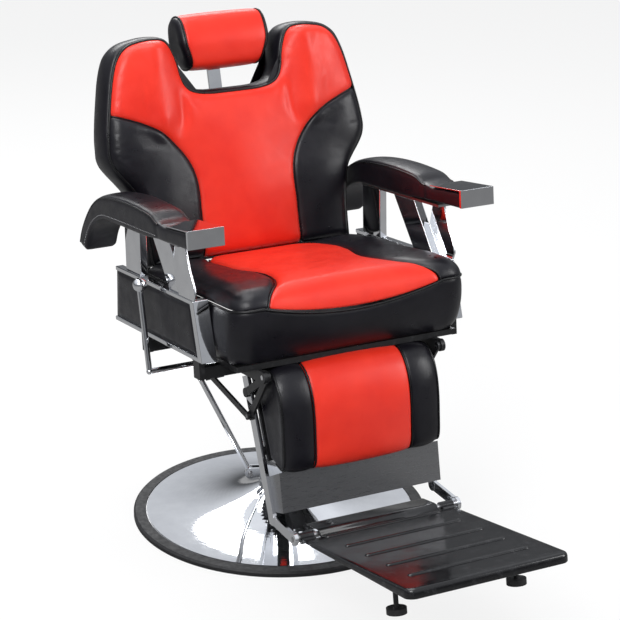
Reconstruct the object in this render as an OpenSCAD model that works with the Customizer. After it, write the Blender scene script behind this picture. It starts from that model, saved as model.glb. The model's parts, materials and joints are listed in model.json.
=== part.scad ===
// Reclining barber chair on a round hydraulic pedestal.
// Millimetres, Z up, origin on the floor under the column. The sitter faces -Y.

/* [Base and column] */
// Outside radius of the round base
base_radius = 325; // [290:5:360]
// Radial width of the dark ring around the base
ring_width = 27; // [20:1:36]
// Height of the dark ring
ring_height = 12; // [8:1:18]
// Height of the bright dome above the floor where it meets the column
dome_height = 66; // [50:2:90]
// Outside radius of the pump cylinder
cylinder_radius = 46; // [40:1:52]
// Height of the top of the pump cylinder
cylinder_top = 285; // [260:5:300]
// Radius of the lifting piston
piston_radius = 28; // [24:1:32]
// Radius of the pump lever rod
lever_rod_radius = 6; // [5:0.5:8]

/* [Seat] */
// Height of the seat frame above the floor at the column
seat_frame_height = 450; // [430:5:470]
// Upward tilt of the seat toward the front, in degrees
seat_tilt = 7.3; // [4:0.1:10]
// Width of the seat cushion
seat_width = 524; // [480:4:540]
// Distance from the column to the front of the seat board
seat_front = 326; // [310:2:340]
// Distance from the column to the back of the seat cushion
seat_rear = 128; // [110:2:140]
// Thickness of the seat cushion without the board
seat_thickness = 150; // [130:2:165]
// Thickness of the wooden boards
board_thickness = 12; // [9:1:15]

/* [Side frames and armrests] */
// Room between the seat and each side frame
seat_side_room = 27; // [24:1:38]
// Thickness of each dark side panel
panel_thickness = 12; // [6:1:16]
// Height of each side frame with its bright trim
panel_height = 124; // [110:2:140]
// Height of the bright trim strips along the side panel
trim_height = 9; // [6:1:12]
// Height of the armrest pad underside above the seat frame
arm_height = 255; // [240:5:280]
// Width of each armrest pad
arm_width = 76; // [64:2:88]

/* [Backrest] */
// Backward lean of the backrest at rest, in degrees
back_lean = 16.4; // [12:0.2:20]
// Height of the backrest along its face
back_height = 488; // [470:2:510]
// Half width of the backrest at the shoulders
back_shoulder = 312; // [300:2:320]
// Thickness of the backrest
back_thickness = 90; // [80:2:100]

/* [Legrest and footplate] */
// Half width of the calf pad
calf_half_width = 182; // [170:2:190]
// Thickness of each bright leg bar
leg_bar_thickness = 8; // [6:1:10]
// Width of each bright leg bar
leg_bar_width = 25; // [20:1:30]
// Length of the footplate
footplate_length = 445; // [400:5:460]
// Half width of the footplate
footplate_half_width = 178; // [160:2:184]
// Upward slope of the footplate at rest, in degrees
footplate_slope = 11.6; // [8:0.2:16]

/* [Hidden] */

// Smoothness of round parts and of soft corners
round_steps = 96;
soft_steps = 3;
// Running clearance in bores and the air gap kept around soft pieces
run_gap = 0.05;
soft_gap = 0.3;
// How far a plain cushion edge draws in, and a well rounded one
edge_draw = 2;
side_draw = 5;
// Reach of cutting shapes past the faces they cut
past = 1;
// A length longer than any part, for trimming
long_reach = 400;
// Below this the three corners count as lying on one line
least_turn = 0.01;

// Colours as in the photograph
colour_red = [0.86, 0.11, 0.07];
colour_black = [0.07, 0.07, 0.08];
colour_chrome = [0.82, 0.83, 0.85];
colour_steel = [0.36, 0.36, 0.38];
colour_wood = [0.66, 0.52, 0.34];

// Base
ring_inner = base_radius - ring_width;
ring_bevel = 4;
plate_thickness = 10;
plate_radius = ring_inner - soft_gap;
dome_skin = 2.5;
dome_rim = plate_radius - dome_skin;
dome_neck = cylinder_radius + soft_gap;
dome_power = 2.6;
dome_bands = 26;
flange_radius = 84;
flange_thickness = 10;
bolt_circle = 66;
bolt_radius = 5;
bolt_head_radius = 9;
bolt_head_height = 7;
bolt_count = 4;
cylinder_floor = 60;
collar_height = 18;
collar_wall = 7;
collar_radius = cylinder_radius + collar_wall;

// Piston and hub
piston_bottom = 150;
piston_top_drop = 48;
hub_drop = 76;
piston_top = seat_frame_height - piston_top_drop;
hub_bottom = seat_frame_height - hub_drop;
hub_radius = 44;
hub_plate = 220;
hub_plate_thickness = 10;

// Pump lever, on its own bracket beside the cylinder
lever_heading = 160;
lever_pivot_reach = 66;
lever_pivot_height = 98;
lever_pin_radius = 5;
lever_pin_length = 34;
lever_eye_radius = 11;
lever_eye_width = 12;
cheek_thickness = 6;
cheek_width = 24;
lever_rise = 229;
lever_lean = 109;
lever_return = 44;
lever_return_rise = 9;
bend_swell = 0.8;
grip_radius = 9;
grip_length = 34;
grip_overhang = 7;

// Seat frame tubes, measured along the tilted seat frame
tube = 24;
front_tube = -225;
rear_tube = 42;
rail_offset = 95;
tab_length = 30;
frame_inner_width = seat_width + 2 * seat_side_room;
panel_inner = frame_inner_width / 2;
panel_outer = panel_inner + panel_thickness;
trim_lip = 3;
trim_inner = panel_inner - trim_lip;
trim_outer = panel_outer + trim_lip;
panel_low = 15;
panel_high = panel_low + panel_height;
panel_rear_low = 195;
panel_rear_high = 174;
panel_front_low = -262;
panel_front_high = -235;
upright_depth = 20;
upright_width = 34;

// Back pivot and legrest pivot, as y and z
back_pivot_rise = 95;
back_pivot = [165, seat_frame_height + back_pivot_rise];
leg_pivot_along = -336;
leg_pivot_up = -12;
pivot_radius = 10;
pivot_boss = 17;
leg_pin_radius = 5;

// The same link arm hangs from the back pivot and from the leg pivot
link_arm = [76, -113];
rod_inner = 200;
rod_thickness = 6;
rod_eye = 8;
rod_pin_radius = 4;
waist_share = 0.8;
eye_step = 0.3;
lug_gap = 0.6;
lug_thickness = 7;
leg_arm_thickness = 9;

// Backrest, measured from the front of its lower edge
back_foot_rise = 117;
back_foot = [132, seat_frame_height + back_foot_rise];
back_panel_thickness = 12;
back_body_front = 12;
back_pad_crown = 24;
back_round = 22;
wing_round = 12;
bracket_thickness = 6;
head_bar_width = 30;
head_bar_thickness = 6;
bracket_height = 110;
bracket_low = 12;
bracket_web = 45;
bracket_eye = 12;
head_bar_clearance = 1;
head_bar_depth = back_thickness + head_bar_clearance;
head_bar_bottom_share = 0.43;
head_bar_top_share = 0.975;
head_bar_bottom = back_height * head_bar_bottom_share;
head_bar_top = back_height * head_bar_top_share;
head_guide_width = 56;
head_guide_height = 50;
head_guide_depth = 12;
head_guide_low_share = 0.615;
head_guide_low = back_height * head_guide_low_share;
head_half_width = 107;
head_low_share = 0.846;
head_low = back_height * head_low_share;
head_tall = 121;
head_deep = back_thickness + head_bar_clearance;

// Legrest frame, leaning forward
leg_lean = 25;
leg_origin_drop = 16;
leg_origin = [-226, seat_frame_height - leg_origin_drop];
leg_foot_knee = -290;
leg_foot_reach = 86;
leg_foot_drop = 333;
leg_bar_top = 8;
leg_bar_clearance = 3;
leg_bar_inner = calf_half_width + leg_bar_clearance;
leg_bar_outer = leg_bar_inner + leg_bar_thickness;
leg_tube_radius = 9;
leg_tube_high = -26;
leg_tube_low = -150;
calf_board_thickness = 8;
calf_top = 12;
calf_bottom = -172;
calf_seam = 112;
gusset_thickness = 6;

// Footplate
plate_skin = 5;
plate_base = -6;
plate_lip = 20;
plate_edge = 12;
rib_count = 5;
rib_spacing = 84;
rib_start = 24;
rib_half_length = 134;
rib_width = 9;
rib_height = 3;
knuckle_radius = 10;
knuckle_length = 30;
foot_pin_radius = 6;
glide_radius = 20;
glide_height = 12;
glide_stem_radius = 5;
glide_stem = 82;
glide_offset = 134;
glide_along = 310;

// Recline lever beside the seat
lever_shaft_radius = 6;
lever_axis_drop = 38;
lever_axis = [-50, seat_frame_height - lever_axis_drop];
lever_reach = 29;
lever_outside = panel_outer + lever_reach;
lever_inside = 72;
lever_top_rise = 166;
lever_top = [-6, lever_axis[1] + lever_top_rise];
knob_radius = 15;
knob_sink = 3;
lock_size = [58, 48, 31];

// Turns a part from the seat frame's own plane into the chair.
module on_seat() {
    translate([0, 0, seat_frame_height]) rotate([-seat_tilt, 0, 0]) children();
}

// Places a part in the backrest plane: x across, y into the back, z up along it.
module on_back() {
    translate([0, back_foot[0], back_foot[1]]) rotate([-back_lean, 0, 0]) children();
}

// Places a part in the leaning legrest plane.
module on_leg() {
    translate([0, leg_origin[0], leg_origin[1]]) rotate([-leg_lean, 0, 0]) children();
}

// A point of the leaning legrest plane, as y and z in the chair.
function leg_point(along, up) = [
    leg_origin[0] + along * cos(leg_lean) + up * sin(leg_lean),
    leg_origin[1] - along * sin(leg_lean) + up * cos(leg_lean)
];

// A point of the tilted seat plane, as y and z in the chair.
function seat_point(along, up) = [
    along * cos(seat_tilt) + up * sin(seat_tilt),
    seat_frame_height - along * sin(seat_tilt) + up * cos(seat_tilt)
];

leg_pivot = seat_point(leg_pivot_along, leg_pivot_up);
foot_pivot = leg_point(-leg_foot_reach, -leg_foot_drop);

// Places a part at the footplate hinge, sloping up toward the front.
module on_footplate() {
    translate([0, foot_pivot[0], foot_pivot[1]]) rotate([-footplate_slope, 0, 0]) children();
}

// Repeats a part on one side: -1 is the viewer's left, 1 the right.
module on_side(side) {
    scale([side, 1, 1]) children();
}

// A plate drawn in side view as y and z points, spread along x.
module side_plate(points, from_x, to_x) {
    translate([from_x, 0, 0]) rotate([90, 0, 90]) linear_extrude(to_x - from_x) polygon(points);
}

// A round bar along x through a y and z point.
module cross_bar(point, radius, from_x, to_x) {
    translate([from_x, point[0], point[1]]) rotate([0, 90, 0])
        cylinder(h = to_x - from_x, r = radius, $fn = round_steps);
}

// A flat link in side view between two y and z points, with thicker round eyes at its ends.
module flat_link(start, end, eye, from_x, to_x) {
    reach = end - start;
    waist = eye * waist_share;
    width = to_x - from_x - 2 * eye_step;
    translate([0, start[0], start[1]]) rotate([atan2(reach[1], reach[0]), 0, 0])
        translate([from_x + eye_step, 0, -waist]) cube([width, norm(reach), 2 * waist]);
    for (point = [start, end]) cross_bar(point, eye, from_x, to_x);
}

// A straight round rod between two points.
module rod_between(start, end, radius) {
    reach = end - start;
    flat_reach = norm([reach[0], reach[1]]);
    translate(start) rotate([0, atan2(flat_reach, reach[2]), atan2(reach[1], reach[0])])
        cylinder(h = norm(reach), r = radius, $fn = round_steps / 2);
}

// An outline given in shares of two sizes, in real lengths.
function sized(shares, across, along) = [for (share = shares) [share[0] * across, share[1] * along]];

// The same outline points mirrored and run backwards, so that halves join up.
function mirrored(points) = [for (i = [len(points) - 1:-1:0]) [-points[i][0], points[i][1]]];

// Outline point moved inward by a distance, for outlines drawn counter-clockwise.
function inset_point(before, here, after, inward) =
    let (arriving = (here - before) / norm(here - before))
    let (leaving = (after - here) / norm(after - here))
    let (mean = arriving + leaving)
    here + inward * [-mean[1], mean[0]] / norm(mean);

function inset_outline(outline, inward) =
    let (count = len(outline))
    [for (i = [0:count - 1])
        inset_point(outline[(i + count - 1) % count], outline[i], outline[(i + 1) % count], inward)];

// A smooth closed or open curve through control points.
function curve_point(a, b, c, d, share) = (
    2 * b + (c - a) * share
    + (2 * a - 5 * b + 4 * c - d) * share * share
    + (3 * b - a - 3 * c + d) * share * share * share
) / 2;

function smooth_loop(points, steps) =
    let (count = len(points))
    [for (i = [0:count - 1]) for (step = [0:steps - 1])
        curve_point(points[(i + count - 1) % count], points[i], points[(i + 1) % count],
            points[(i + 2) % count], step / steps)];

// Twice the area of a triangle, positive when its corners run counter-clockwise.
function turn(a, b, c) = (b[0] - a[0]) * (c[1] - a[1]) - (b[1] - a[1]) * (c[0] - a[0]);

function triangle_holds(a, b, c, point) =
    turn(a, b, point) >= 0 && turn(b, c, point) >= 0 && turn(c, a, point) >= 0;

// A corner may be cut off an outline when no other point lies in its triangle.
function may_cut(points, kept, i) =
    let (count = len(kept))
    let (a = points[kept[(i + count - 1) % count]])
    let (b = points[kept[i]])
    let (c = points[kept[(i + 1) % count]])
    let (others = [for (k = kept) if (points[k] != a && points[k] != b && points[k] != c) points[k]])
    turn(a, b, c) > least_turn
        && len([for (point = others) if (triangle_holds(a, b, c, point)) point]) == 0;

function corner_to_cut(points, kept, i = 0) =
    i >= len(kept) || may_cut(points, kept, i) ? i % len(kept) : corner_to_cut(points, kept, i + 1);

// Triangles that fill an outline drawn counter-clockwise, cut off it corner by corner.
function fill_triangles(points, kept) =
    let (count = len(kept))
    let (i = corner_to_cut(points, kept))
    let (corner = [kept[(i + count - 1) % count], kept[i], kept[(i + 1) % count]])
    count == 3 ? [kept]
        : concat([corner], fill_triangles(points, [for (k = [0:count - 1]) if (k != i) kept[k]]));

// A cushion made of stacked outlines: each level is a height and an inward inset.
module cushion(outline, levels) {
    count = len(outline);
    last = len(levels) - 1;
    rings = [for (level = levels) for (point = inset_outline(outline, level[1]))
        [point[0], point[1], level[0]]];
    top = last * count;
    around = [for (i = [0:count - 1]) i];
    floor_faces = fill_triangles(inset_outline(outline, levels[0][1]), around);
    top_faces = [for (corners = fill_triangles(inset_outline(outline, levels[last][1]), around))
        [top + corners[2], top + corners[1], top + corners[0]]];
    walls = [for (ring = [0:len(levels) - 2]) for (i = [0:count - 1])
        for (half = [0, 1])
            let (low = ring * count, high = low + count, next = (i + 1) % count)
            half == 0 ? [low + i, high + i, low + next] : [low + next, high + i, high + next]];
    polyhedron(points = rings, faces = concat(floor_faces, top_faces, walls), convexity = 6);
}

// Levels for a cushion with a drawn-in foot and a rounded crown.
crown_shares = [[1, 0], [0.4, 0.18], [0.12, 0.5], [0, 1]];
function crowned(low, high, round_over) = concat(
    [[low, edge_draw], [low + edge_draw, 0]],
    [for (share = crown_shares) [high - round_over * share[0], round_over * share[1]]]
);

// Levels for a cushion that only draws in at both ends.
function drawn_in(low, high, draw) = [
    [low, draw],
    [low + draw, 0],
    [high - draw, 0],
    [high, draw]
];

// Base

module base_ring() {
    color(colour_black) rotate_extrude($fn = round_steps * 2) polygon([
        [ring_inner, 0],
        [base_radius, 0],
        [base_radius, ring_height - ring_bevel],
        [base_radius - ring_bevel, ring_height],
        [ring_inner, ring_height]
    ]);
}

module bolt_places() {
    for (turn = [1:bolt_count]) rotate([0, 0, (turn + 1 / 2) * 360 / bolt_count])
        translate([bolt_circle, 0, 0]) children();
}

module base_plate() {
    color(colour_steel) difference() {
        cylinder(h = plate_thickness, r = plate_radius, $fn = round_steps * 2);
        bolt_places() translate([0, 0, -past])
            cylinder(h = plate_thickness + 2 * past, r = bolt_radius + run_gap, $fn = round_steps / 2);
    }
}

function dome_curve(skin) = [for (band = [0:dome_bands])
    let (share = band / dome_bands)
    [dome_rim - share * (dome_rim - dome_neck), plate_thickness + skin
        + (dome_height - plate_thickness - dome_skin) * pow(share, dome_power)]];

module base_dome() {
    under = dome_curve(0);
    over = dome_curve(dome_skin);
    backward = [for (i = [len(over) - 1:-1:0]) over[i]];
    color(colour_chrome) rotate_extrude($fn = round_steps * 2) polygon(concat(under, backward));
}

module base_bolts() {
    color(colour_steel) bolt_places() {
        cylinder(h = plate_thickness + flange_thickness, r = bolt_radius, $fn = round_steps / 2);
        translate([0, 0, plate_thickness + flange_thickness])
            cylinder(h = bolt_head_height, r = bolt_head_radius, $fn = 6);
    }
}

module lever_place() {
    rotate([0, 0, lever_heading]) translate([lever_pivot_reach, 0, lever_pivot_height]) children();
}

module pump_cylinder() {
    color(colour_chrome) difference() {
        union() {
            translate([0, 0, plate_thickness])
                cylinder(h = cylinder_top - plate_thickness, r = cylinder_radius, $fn = round_steps);
            translate([0, 0, plate_thickness])
                cylinder(h = flange_thickness, r = flange_radius, $fn = round_steps);
            lever_cheeks();
        }
        translate([0, 0, cylinder_floor])
            cylinder(h = cylinder_top, r = piston_radius + run_gap, $fn = round_steps);
        bolt_places() translate([0, 0, plate_thickness - past])
            cylinder(h = flange_thickness + 2 * past, r = bolt_radius + run_gap, $fn = round_steps / 2);
        lever_place() rotate([90, 0, 0])
            cylinder(h = lever_pin_length * 2, r = lever_pin_radius, center = true, $fn = round_steps / 2);
    }
}

module lever_cheeks() {
    lever_place() for (cheek = [-1, 1]) {
        translate([-cheek_width / 2, cheek * (lever_eye_width / 2 + run_gap + cheek_thickness / 2), 0])
            cube([cheek_width, cheek_thickness, cheek_width], center = true);
        translate([0, cheek * (lever_eye_width / 2 + run_gap + cheek_thickness / 2), 0])
            rotate([90, 0, 0])
            cylinder(h = cheek_thickness, r = cheek_width / 2, center = true, $fn = round_steps);
    }
}

module cylinder_collar() {
    color(colour_black) translate([0, 0, cylinder_top]) difference() {
        cylinder(h = collar_height, r = collar_radius, $fn = round_steps);
        translate([0, 0, -past])
            cylinder(h = collar_height + 2 * past, r = piston_radius + run_gap, $fn = round_steps);
    }
}

module pump_lever_pin() {
    color(colour_steel) lever_place() rotate([90, 0, 0])
        cylinder(h = lever_pin_length, r = lever_pin_radius, center = true, $fn = round_steps / 2);
}

lever_bend = [lever_lean, 0, lever_rise];
lever_end = lever_bend + [-lever_return, 0, lever_return_rise];

module pump_lever() {
    color(colour_chrome) lever_place() difference() {
        union() {
            rotate([90, 0, 0])
                cylinder(h = lever_eye_width, r = lever_eye_radius, center = true, $fn = round_steps);
            rod_between([0, 0, 0], lever_bend, lever_rod_radius);
            translate(lever_bend) sphere(r = lever_rod_radius + bend_swell, $fn = round_steps / 2);
            rod_between(lever_bend, lever_end, lever_rod_radius);
        }
        rotate([90, 0, 0])
            cylinder(h = lever_eye_width + past, r = lever_pin_radius + run_gap, center = true,
                $fn = round_steps / 2);
    }
}

module pump_lever_grip() {
    color(colour_black) lever_place() difference() {
        grip_start = lever_end + (lever_bend - lever_end) * (grip_length / norm(lever_bend - lever_end));
        grip_stop = lever_end + (lever_end - lever_bend) * (grip_overhang / norm(lever_bend - lever_end));
        rod_between(grip_start, grip_stop, grip_radius);
        rod_between(lever_bend, lever_end, lever_rod_radius);
    }
}

module piston() {
    color(colour_chrome) translate([0, 0, piston_bottom])
        cylinder(h = piston_top - piston_bottom, r = piston_radius, $fn = round_steps);
}

// Seat carrier

module swivel_hub() {
    color(colour_black) difference() {
        union() {
            on_seat() translate([-hub_plate / 2, -hub_plate / 2, -tube - hub_plate_thickness])
                cube([hub_plate, hub_plate, hub_plate_thickness]);
            difference() {
                translate([0, 0, hub_bottom])
                    cylinder(h = seat_frame_height - hub_bottom, r = hub_radius, $fn = round_steps);
                on_seat() translate([-long_reach / 2, -long_reach / 2, -tube])
                    cube([long_reach, long_reach, long_reach]);
            }
        }
        translate([0, 0, hub_bottom - past])
            cylinder(h = piston_top - hub_bottom + past, r = piston_radius + run_gap, $fn = round_steps);
        mount_bolt_places() translate([0, 0, -tube - hub_plate_thickness - past])
            cylinder(h = hub_plate_thickness + 2 * past, r = bolt_radius, $fn = round_steps / 2);
    }
}

module mount_bolt_places() {
    on_seat() for (across = [-1, 1]) for (along = [-1, 1])
        translate([across * rail_offset, along * (hub_plate / 2 - tube), 0]) children();
}

module mount_bolts() {
    color(colour_steel) mount_bolt_places() {
        translate([0, 0, -tube - hub_plate_thickness])
            cylinder(h = tube / 2 + hub_plate_thickness, r = bolt_radius, $fn = round_steps / 2);
        translate([0, 0, -tube - hub_plate_thickness - bolt_head_height])
            cylinder(h = bolt_head_height, r = bolt_head_radius, $fn = 6);
    }
}

module seat_frame() {
    color(colour_black) difference() {
        union() {
            on_seat() {
                for (along = [front_tube, rear_tube])
                    translate([-panel_outer, along - tube / 2, -tube]) cube([panel_outer * 2, tube, tube]);
                for (side = [-1, 1]) for (along = [front_tube, rear_tube]) on_side(side)
                    translate([panel_inner, along - tab_length / 2, -tube])
                        cube([panel_thickness, tab_length, tube + panel_low]);
                for (side = [-1, 1]) on_side(side) {
                    translate([rail_offset - tube / 2, front_tube, -tube])
                        cube([tube, rear_tube - front_tube, tube]);
                    translate([rod_inner + soft_gap, leg_pivot_along, -tube])
                        cube([leg_arm_thickness - 2 * soft_gap, front_tube - leg_pivot_along, tube]);
                }
            }
            for (side = [-1, 1]) on_side(side)
                cross_bar(leg_pivot, tube / 2 + past, rod_inner, rod_inner + leg_arm_thickness);
        }
        mount_bolt_places() translate([0, 0, -tube - past])
            cylinder(h = tube / 2 + past, r = bolt_radius, $fn = round_steps / 2);
        for (side = [-1, 1]) on_side(side)
            cross_bar(leg_pivot, leg_pin_radius, rod_inner - past, rod_inner + leg_arm_thickness + past);
    }
}

// Rear face of the bright front upright at a given height.
function panel_front_at(up) = panel_front_low + upright_depth
    + (panel_front_high - panel_front_low) * (up - panel_low) / panel_height;

module side_panel(side) {
    color(colour_black) on_side(side) difference() {
        on_seat() side_plate([
            [panel_rear_low, panel_low + trim_height],
            [panel_rear_high, panel_high - trim_height],
            [panel_front_at(panel_high - trim_height), panel_high - trim_height],
            [panel_front_at(panel_low + trim_height), panel_low + trim_height]
        ], panel_inner, panel_outer);
        cross_bar(back_pivot, pivot_radius, panel_inner - past, panel_outer + past);
    }
}

module side_trim(side) {
    color(colour_chrome) on_side(side) on_seat() {
        side_plate([
            [panel_rear_low, panel_low],
            [panel_rear_low, panel_low + trim_height],
            [panel_front_low + upright_depth / 2, panel_low + trim_height],
            [panel_front_low + upright_depth / 2, panel_low]
        ], trim_inner, trim_outer);
        side_plate([
            [panel_rear_high, panel_high - trim_height],
            [panel_rear_high, panel_high],
            [panel_front_high + upright_depth / 2, panel_high],
            [panel_front_high + upright_depth / 2, panel_high - trim_height]
        ], trim_inner, trim_outer);
        side_plate([
            [panel_front_low, panel_low],
            [panel_front_low + upright_depth, panel_low],
            [panel_front_high + upright_depth, panel_high],
            [panel_front_high, panel_high]
        ], trim_outer - upright_width, trim_outer);
    }
}

// Armrests, all measured in the tilted seat plane

arm_rail_thickness = 5;
arm_rail_width = 40;
arm_rail_front = -216;
arm_rail_rear = 120;
arm_post_top = arm_height - arm_rail_thickness;
arm_post_rise = arm_post_top - panel_high;
arm_post_inset = 9;
arm_post_thickness = 18;
arm_blade_step = 5;
arm_pad_inset = 19;
arm_post_inner = panel_inner - arm_post_inset;
arm_post_outer = arm_post_inner + arm_post_thickness;
arm_blade_outer = arm_post_outer + arm_blade_step;
arm_pad_inner = panel_inner - arm_pad_inset;
arm_pad_front = -322;
arm_pad_depth = 60;
arm_cap_front = -330;
arm_cap_low = 11;
arm_cap_height = 38;
arm_cap_margin = 1.5;
arm_cap_reach = 120;
arm_cap_skin = 2;
// The thin front of the pad: its length and its two heights, as shares
arm_thin_reach_share = 0.516;
arm_thin_front_share = 0.767;
arm_thin_rear_share = 0.633;
arm_thin_drop = (arm_thin_rear_share - arm_thin_front_share) * arm_pad_depth;
arm_thin_slope = arm_thin_drop / ((arm_thin_reach_share - 1) * arm_pad_front);

// Front and rear edge of each post, at its foot and at its head
rear_post_foot = [48, 128];
rear_post_head = [40, 120];
front_post_foot = [-186, -104];
front_post_head = [-112, -24];
blade_front = -244;
blade_width = 98;
blade_shares = [
    [0.082, 0], [0.816, 0], [1, 0.324], [1, 0.595], [0.837, 1], [0.367, 1], [0.204, 0.559],
    [0.02, 0.27], [0, 0.126]
];

module arm_post(foot, head) {
    side_plate([
        [foot[0], panel_high],
        [foot[1], panel_high],
        [head[1], arm_post_top],
        [head[0], arm_post_top]
    ], arm_post_inner, arm_post_outer);
}

module arm_rear_post(side) {
    color(colour_chrome) on_side(side) on_seat() arm_post(rear_post_foot, rear_post_head);
}

module arm_front_post(side) {
    blade = [for (point = sized(blade_shares, blade_width, arm_post_rise))
        point + [blade_front, panel_high]];
    color(colour_chrome) on_side(side) on_seat() {
        arm_post(front_post_foot, front_post_head);
        side_plate(blade, arm_post_outer, arm_blade_outer);
    }
}

module arm_rail(side) {
    color(colour_steel) on_side(side) on_seat() translate([arm_post_inner, arm_rail_front, arm_post_top])
        cube([arm_rail_width, arm_rail_rear - arm_rail_front, arm_rail_thickness]);
}

// Side view of the armrest pad, as shares of its front reach and of its depth.
arm_pad_shares = [
    [-1, 0.2], [-0.776, 0.167], [-0.497, 0.1], [-0.28, 0.017], [0, 0.007], [0.217, 0.007],
    [0.379, 0.01], [0.497, -0.15], [0.621, -0.533], [0.702, -1], [0.739, -1.367], [0.776, -1.5],
    [0.832, -1.433], [0.86, -1.167], [0.829, -0.8], [0.708, -0.15], [0.565, 0.467], [0.438, 0.8],
    [0.28, 0.933], [0.093, 0.983], [-0.155, 1], [-0.342, 0.933], [-0.435, 0.767],
    [-arm_thin_reach_share, arm_thin_rear_share], [-1, arm_thin_front_share]
];

module arm_pad(side) {
    profile = [for (point = sized(arm_pad_shares, -arm_pad_front, arm_pad_depth)) point + [0, arm_height]];
    color(colour_black) on_side(side) on_seat() rotate([90, 0, 90])
        cushion(profile, drawn_in(arm_pad_inner, arm_pad_inner + arm_width, side_draw));
}

// Bright cap: a block at the front of the pad and a plate over its thin part.
module arm_cap(side) {
    block_low = arm_height + arm_cap_low;
    block_rear = arm_pad_front - soft_gap;
    plate_rear = arm_pad_front + arm_cap_reach;
    under_front = arm_height + arm_pad_depth * arm_thin_front_share + soft_gap;
    under_rear = under_front + arm_thin_slope * arm_cap_reach;
    color(colour_chrome) on_side(side) on_seat() side_plate([
        [arm_cap_front, block_low],
        [arm_cap_front, block_low + arm_cap_height],
        [plate_rear, under_rear + arm_cap_skin],
        [plate_rear, under_rear],
        [block_rear, under_front],
        [block_rear, block_low]
    ], arm_pad_inner - arm_cap_margin, arm_pad_inner + arm_width + arm_cap_margin);
}

// Seat

board_margin = 10;

module seat_board() {
    half = seat_width / 2 - board_margin;
    length = seat_front + seat_rear - 2 * board_margin;
    color(colour_wood) on_seat() translate([-half, board_margin - seat_front, 0])
        cube([2 * half, length, board_thickness]);
}

seat_low = board_thickness + soft_gap;
seat_body_share = 0.7;
seat_split = board_thickness + seat_thickness * seat_body_share;
seat_top = board_thickness + seat_thickness;
seat_draw = 8;
seat_round = 16;
bolster_round = 16;

// Half outlines of the seat, as shares of its half width and of its front reach.
seat_side_shares = [
    [0.58, -1.043], [0.885, -1.025], [0.985, -0.951], [1, -0.816], [1, -0.5],
    [1, 0]
];
seat_seam_shares = [
    [0.458, 0.264], [0.519, 0.184], [0.542, -0.083], [0.519, -0.319], [0.466, -0.445],
    [0.447, -0.574], [0.481, -0.736], [0.557, -0.865], [0.656, -0.969]
];
seat_red_front_shares = [
    [0.679, -1.031], [0, -1.043]
];
bolster_shares = [
    [0.763, -1], [0.885, -0.988], [0.969, -0.92], [0.985, -0.767], [0.985, -0.368], [0.985, 0.061],
    [0.969, 0.264]
];

function seat_sized(shares) = sized(shares, seat_width / 2, seat_front);

module seat_body() {
    half = seat_width / 2;
    corner = [[half, seat_rear - 2 * side_draw], [half - seat_draw, seat_rear]];
    right = concat(seat_sized(seat_side_shares), corner);
    color(colour_black) on_seat()
        cushion(concat(right, mirrored(right)), drawn_in(seat_low, seat_split - soft_gap, seat_draw));
}

module seat_centre() {
    seam = seat_sized(seat_seam_shares);
    front = seat_sized(seat_red_front_shares);
    backward = [for (i = [len(seam) - 1:-1:0]) seam[i]];
    left = [for (point = seam) [-point[0], point[1]]];
    color(colour_red) on_seat()
        cushion(concat([[-front[0][0], front[0][1]], front[1], front[0]], backward, left),
            crowned(seat_split, seat_top + edge_draw, seat_round));
}

module seat_bolster(side) {
    edge = [for (point = seat_sized(seat_seam_shares)) point + [2 * soft_gap, 0]];
    color(colour_black) on_seat() on_side(side)
        cushion(concat(edge, seat_sized(bolster_shares)),
            crowned(seat_split, seat_top - edge_draw, bolster_round));
}

// Recline lever and lock

module recline_lever() {
    elbow = [-lever_outside, lever_axis[0], lever_axis[1]];
    color(colour_chrome) {
        cross_bar(lever_axis, lever_shaft_radius, -lever_outside, -lever_inside);
        translate(elbow) sphere(r = lever_shaft_radius + bend_swell, $fn = round_steps / 2);
        rod_between(elbow, [-lever_outside, lever_top[0], lever_top[1]], lever_shaft_radius);
    }
}

module lever_knob() {
    color(colour_chrome) difference() {
        translate([-lever_outside, lever_top[0], lever_top[1] + knob_radius - knob_sink])
            sphere(r = knob_radius, $fn = round_steps / 2);
        rod_between([-lever_outside, lever_axis[0], lever_axis[1]],
            [-lever_outside, lever_top[0], lever_top[1]], lever_shaft_radius);
    }
}

module recline_lock() {
    corner = [
        -hub_plate / 2,
        lever_axis[0] - lock_size[1] / 2,
        -tube - hub_plate_thickness - lock_size[2]
    ];
    color(colour_steel) difference() {
        on_seat() translate(corner) cube(lock_size);
        cross_bar(lever_axis, lever_shaft_radius + run_gap, -lever_outside, -lever_inside + run_gap);
    }
}

// Backrest

module frame_pins() {
    color(colour_chrome) for (side = [-1, 1]) on_side(side) {
        cross_bar(back_pivot, pivot_radius, back_bracket_inner, panel_outer);
        cross_bar(leg_pivot, leg_pin_radius, leg_bar_outer, rod_inner + leg_arm_thickness);
    }
}

module back_pins() {
    color(colour_steel) for (side = [-1, 1]) on_side(side)
        cross_bar(link_end, rod_pin_radius, rod_inner, back_lug_inner + lug_thickness);
}

// A point of the backrest plane, as y and z in the chair.
function back_point(depth, up) = [
    back_foot[0] + depth * cos(back_lean) + up * sin(back_lean),
    back_foot[1] - depth * sin(back_lean) + up * cos(back_lean)
];

back_bracket_inset = 41;
back_bracket_inner = panel_inner - back_bracket_inset;
back_bracket_outer = back_bracket_inner + bracket_thickness;
back_lug_inner = rod_inner + rod_thickness + lug_gap;
back_lug_outer = back_lug_inner + lug_thickness;
link_end = back_pivot + link_arm;
link_start = back_point(back_thickness + pivot_radius, bracket_low);

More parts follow.
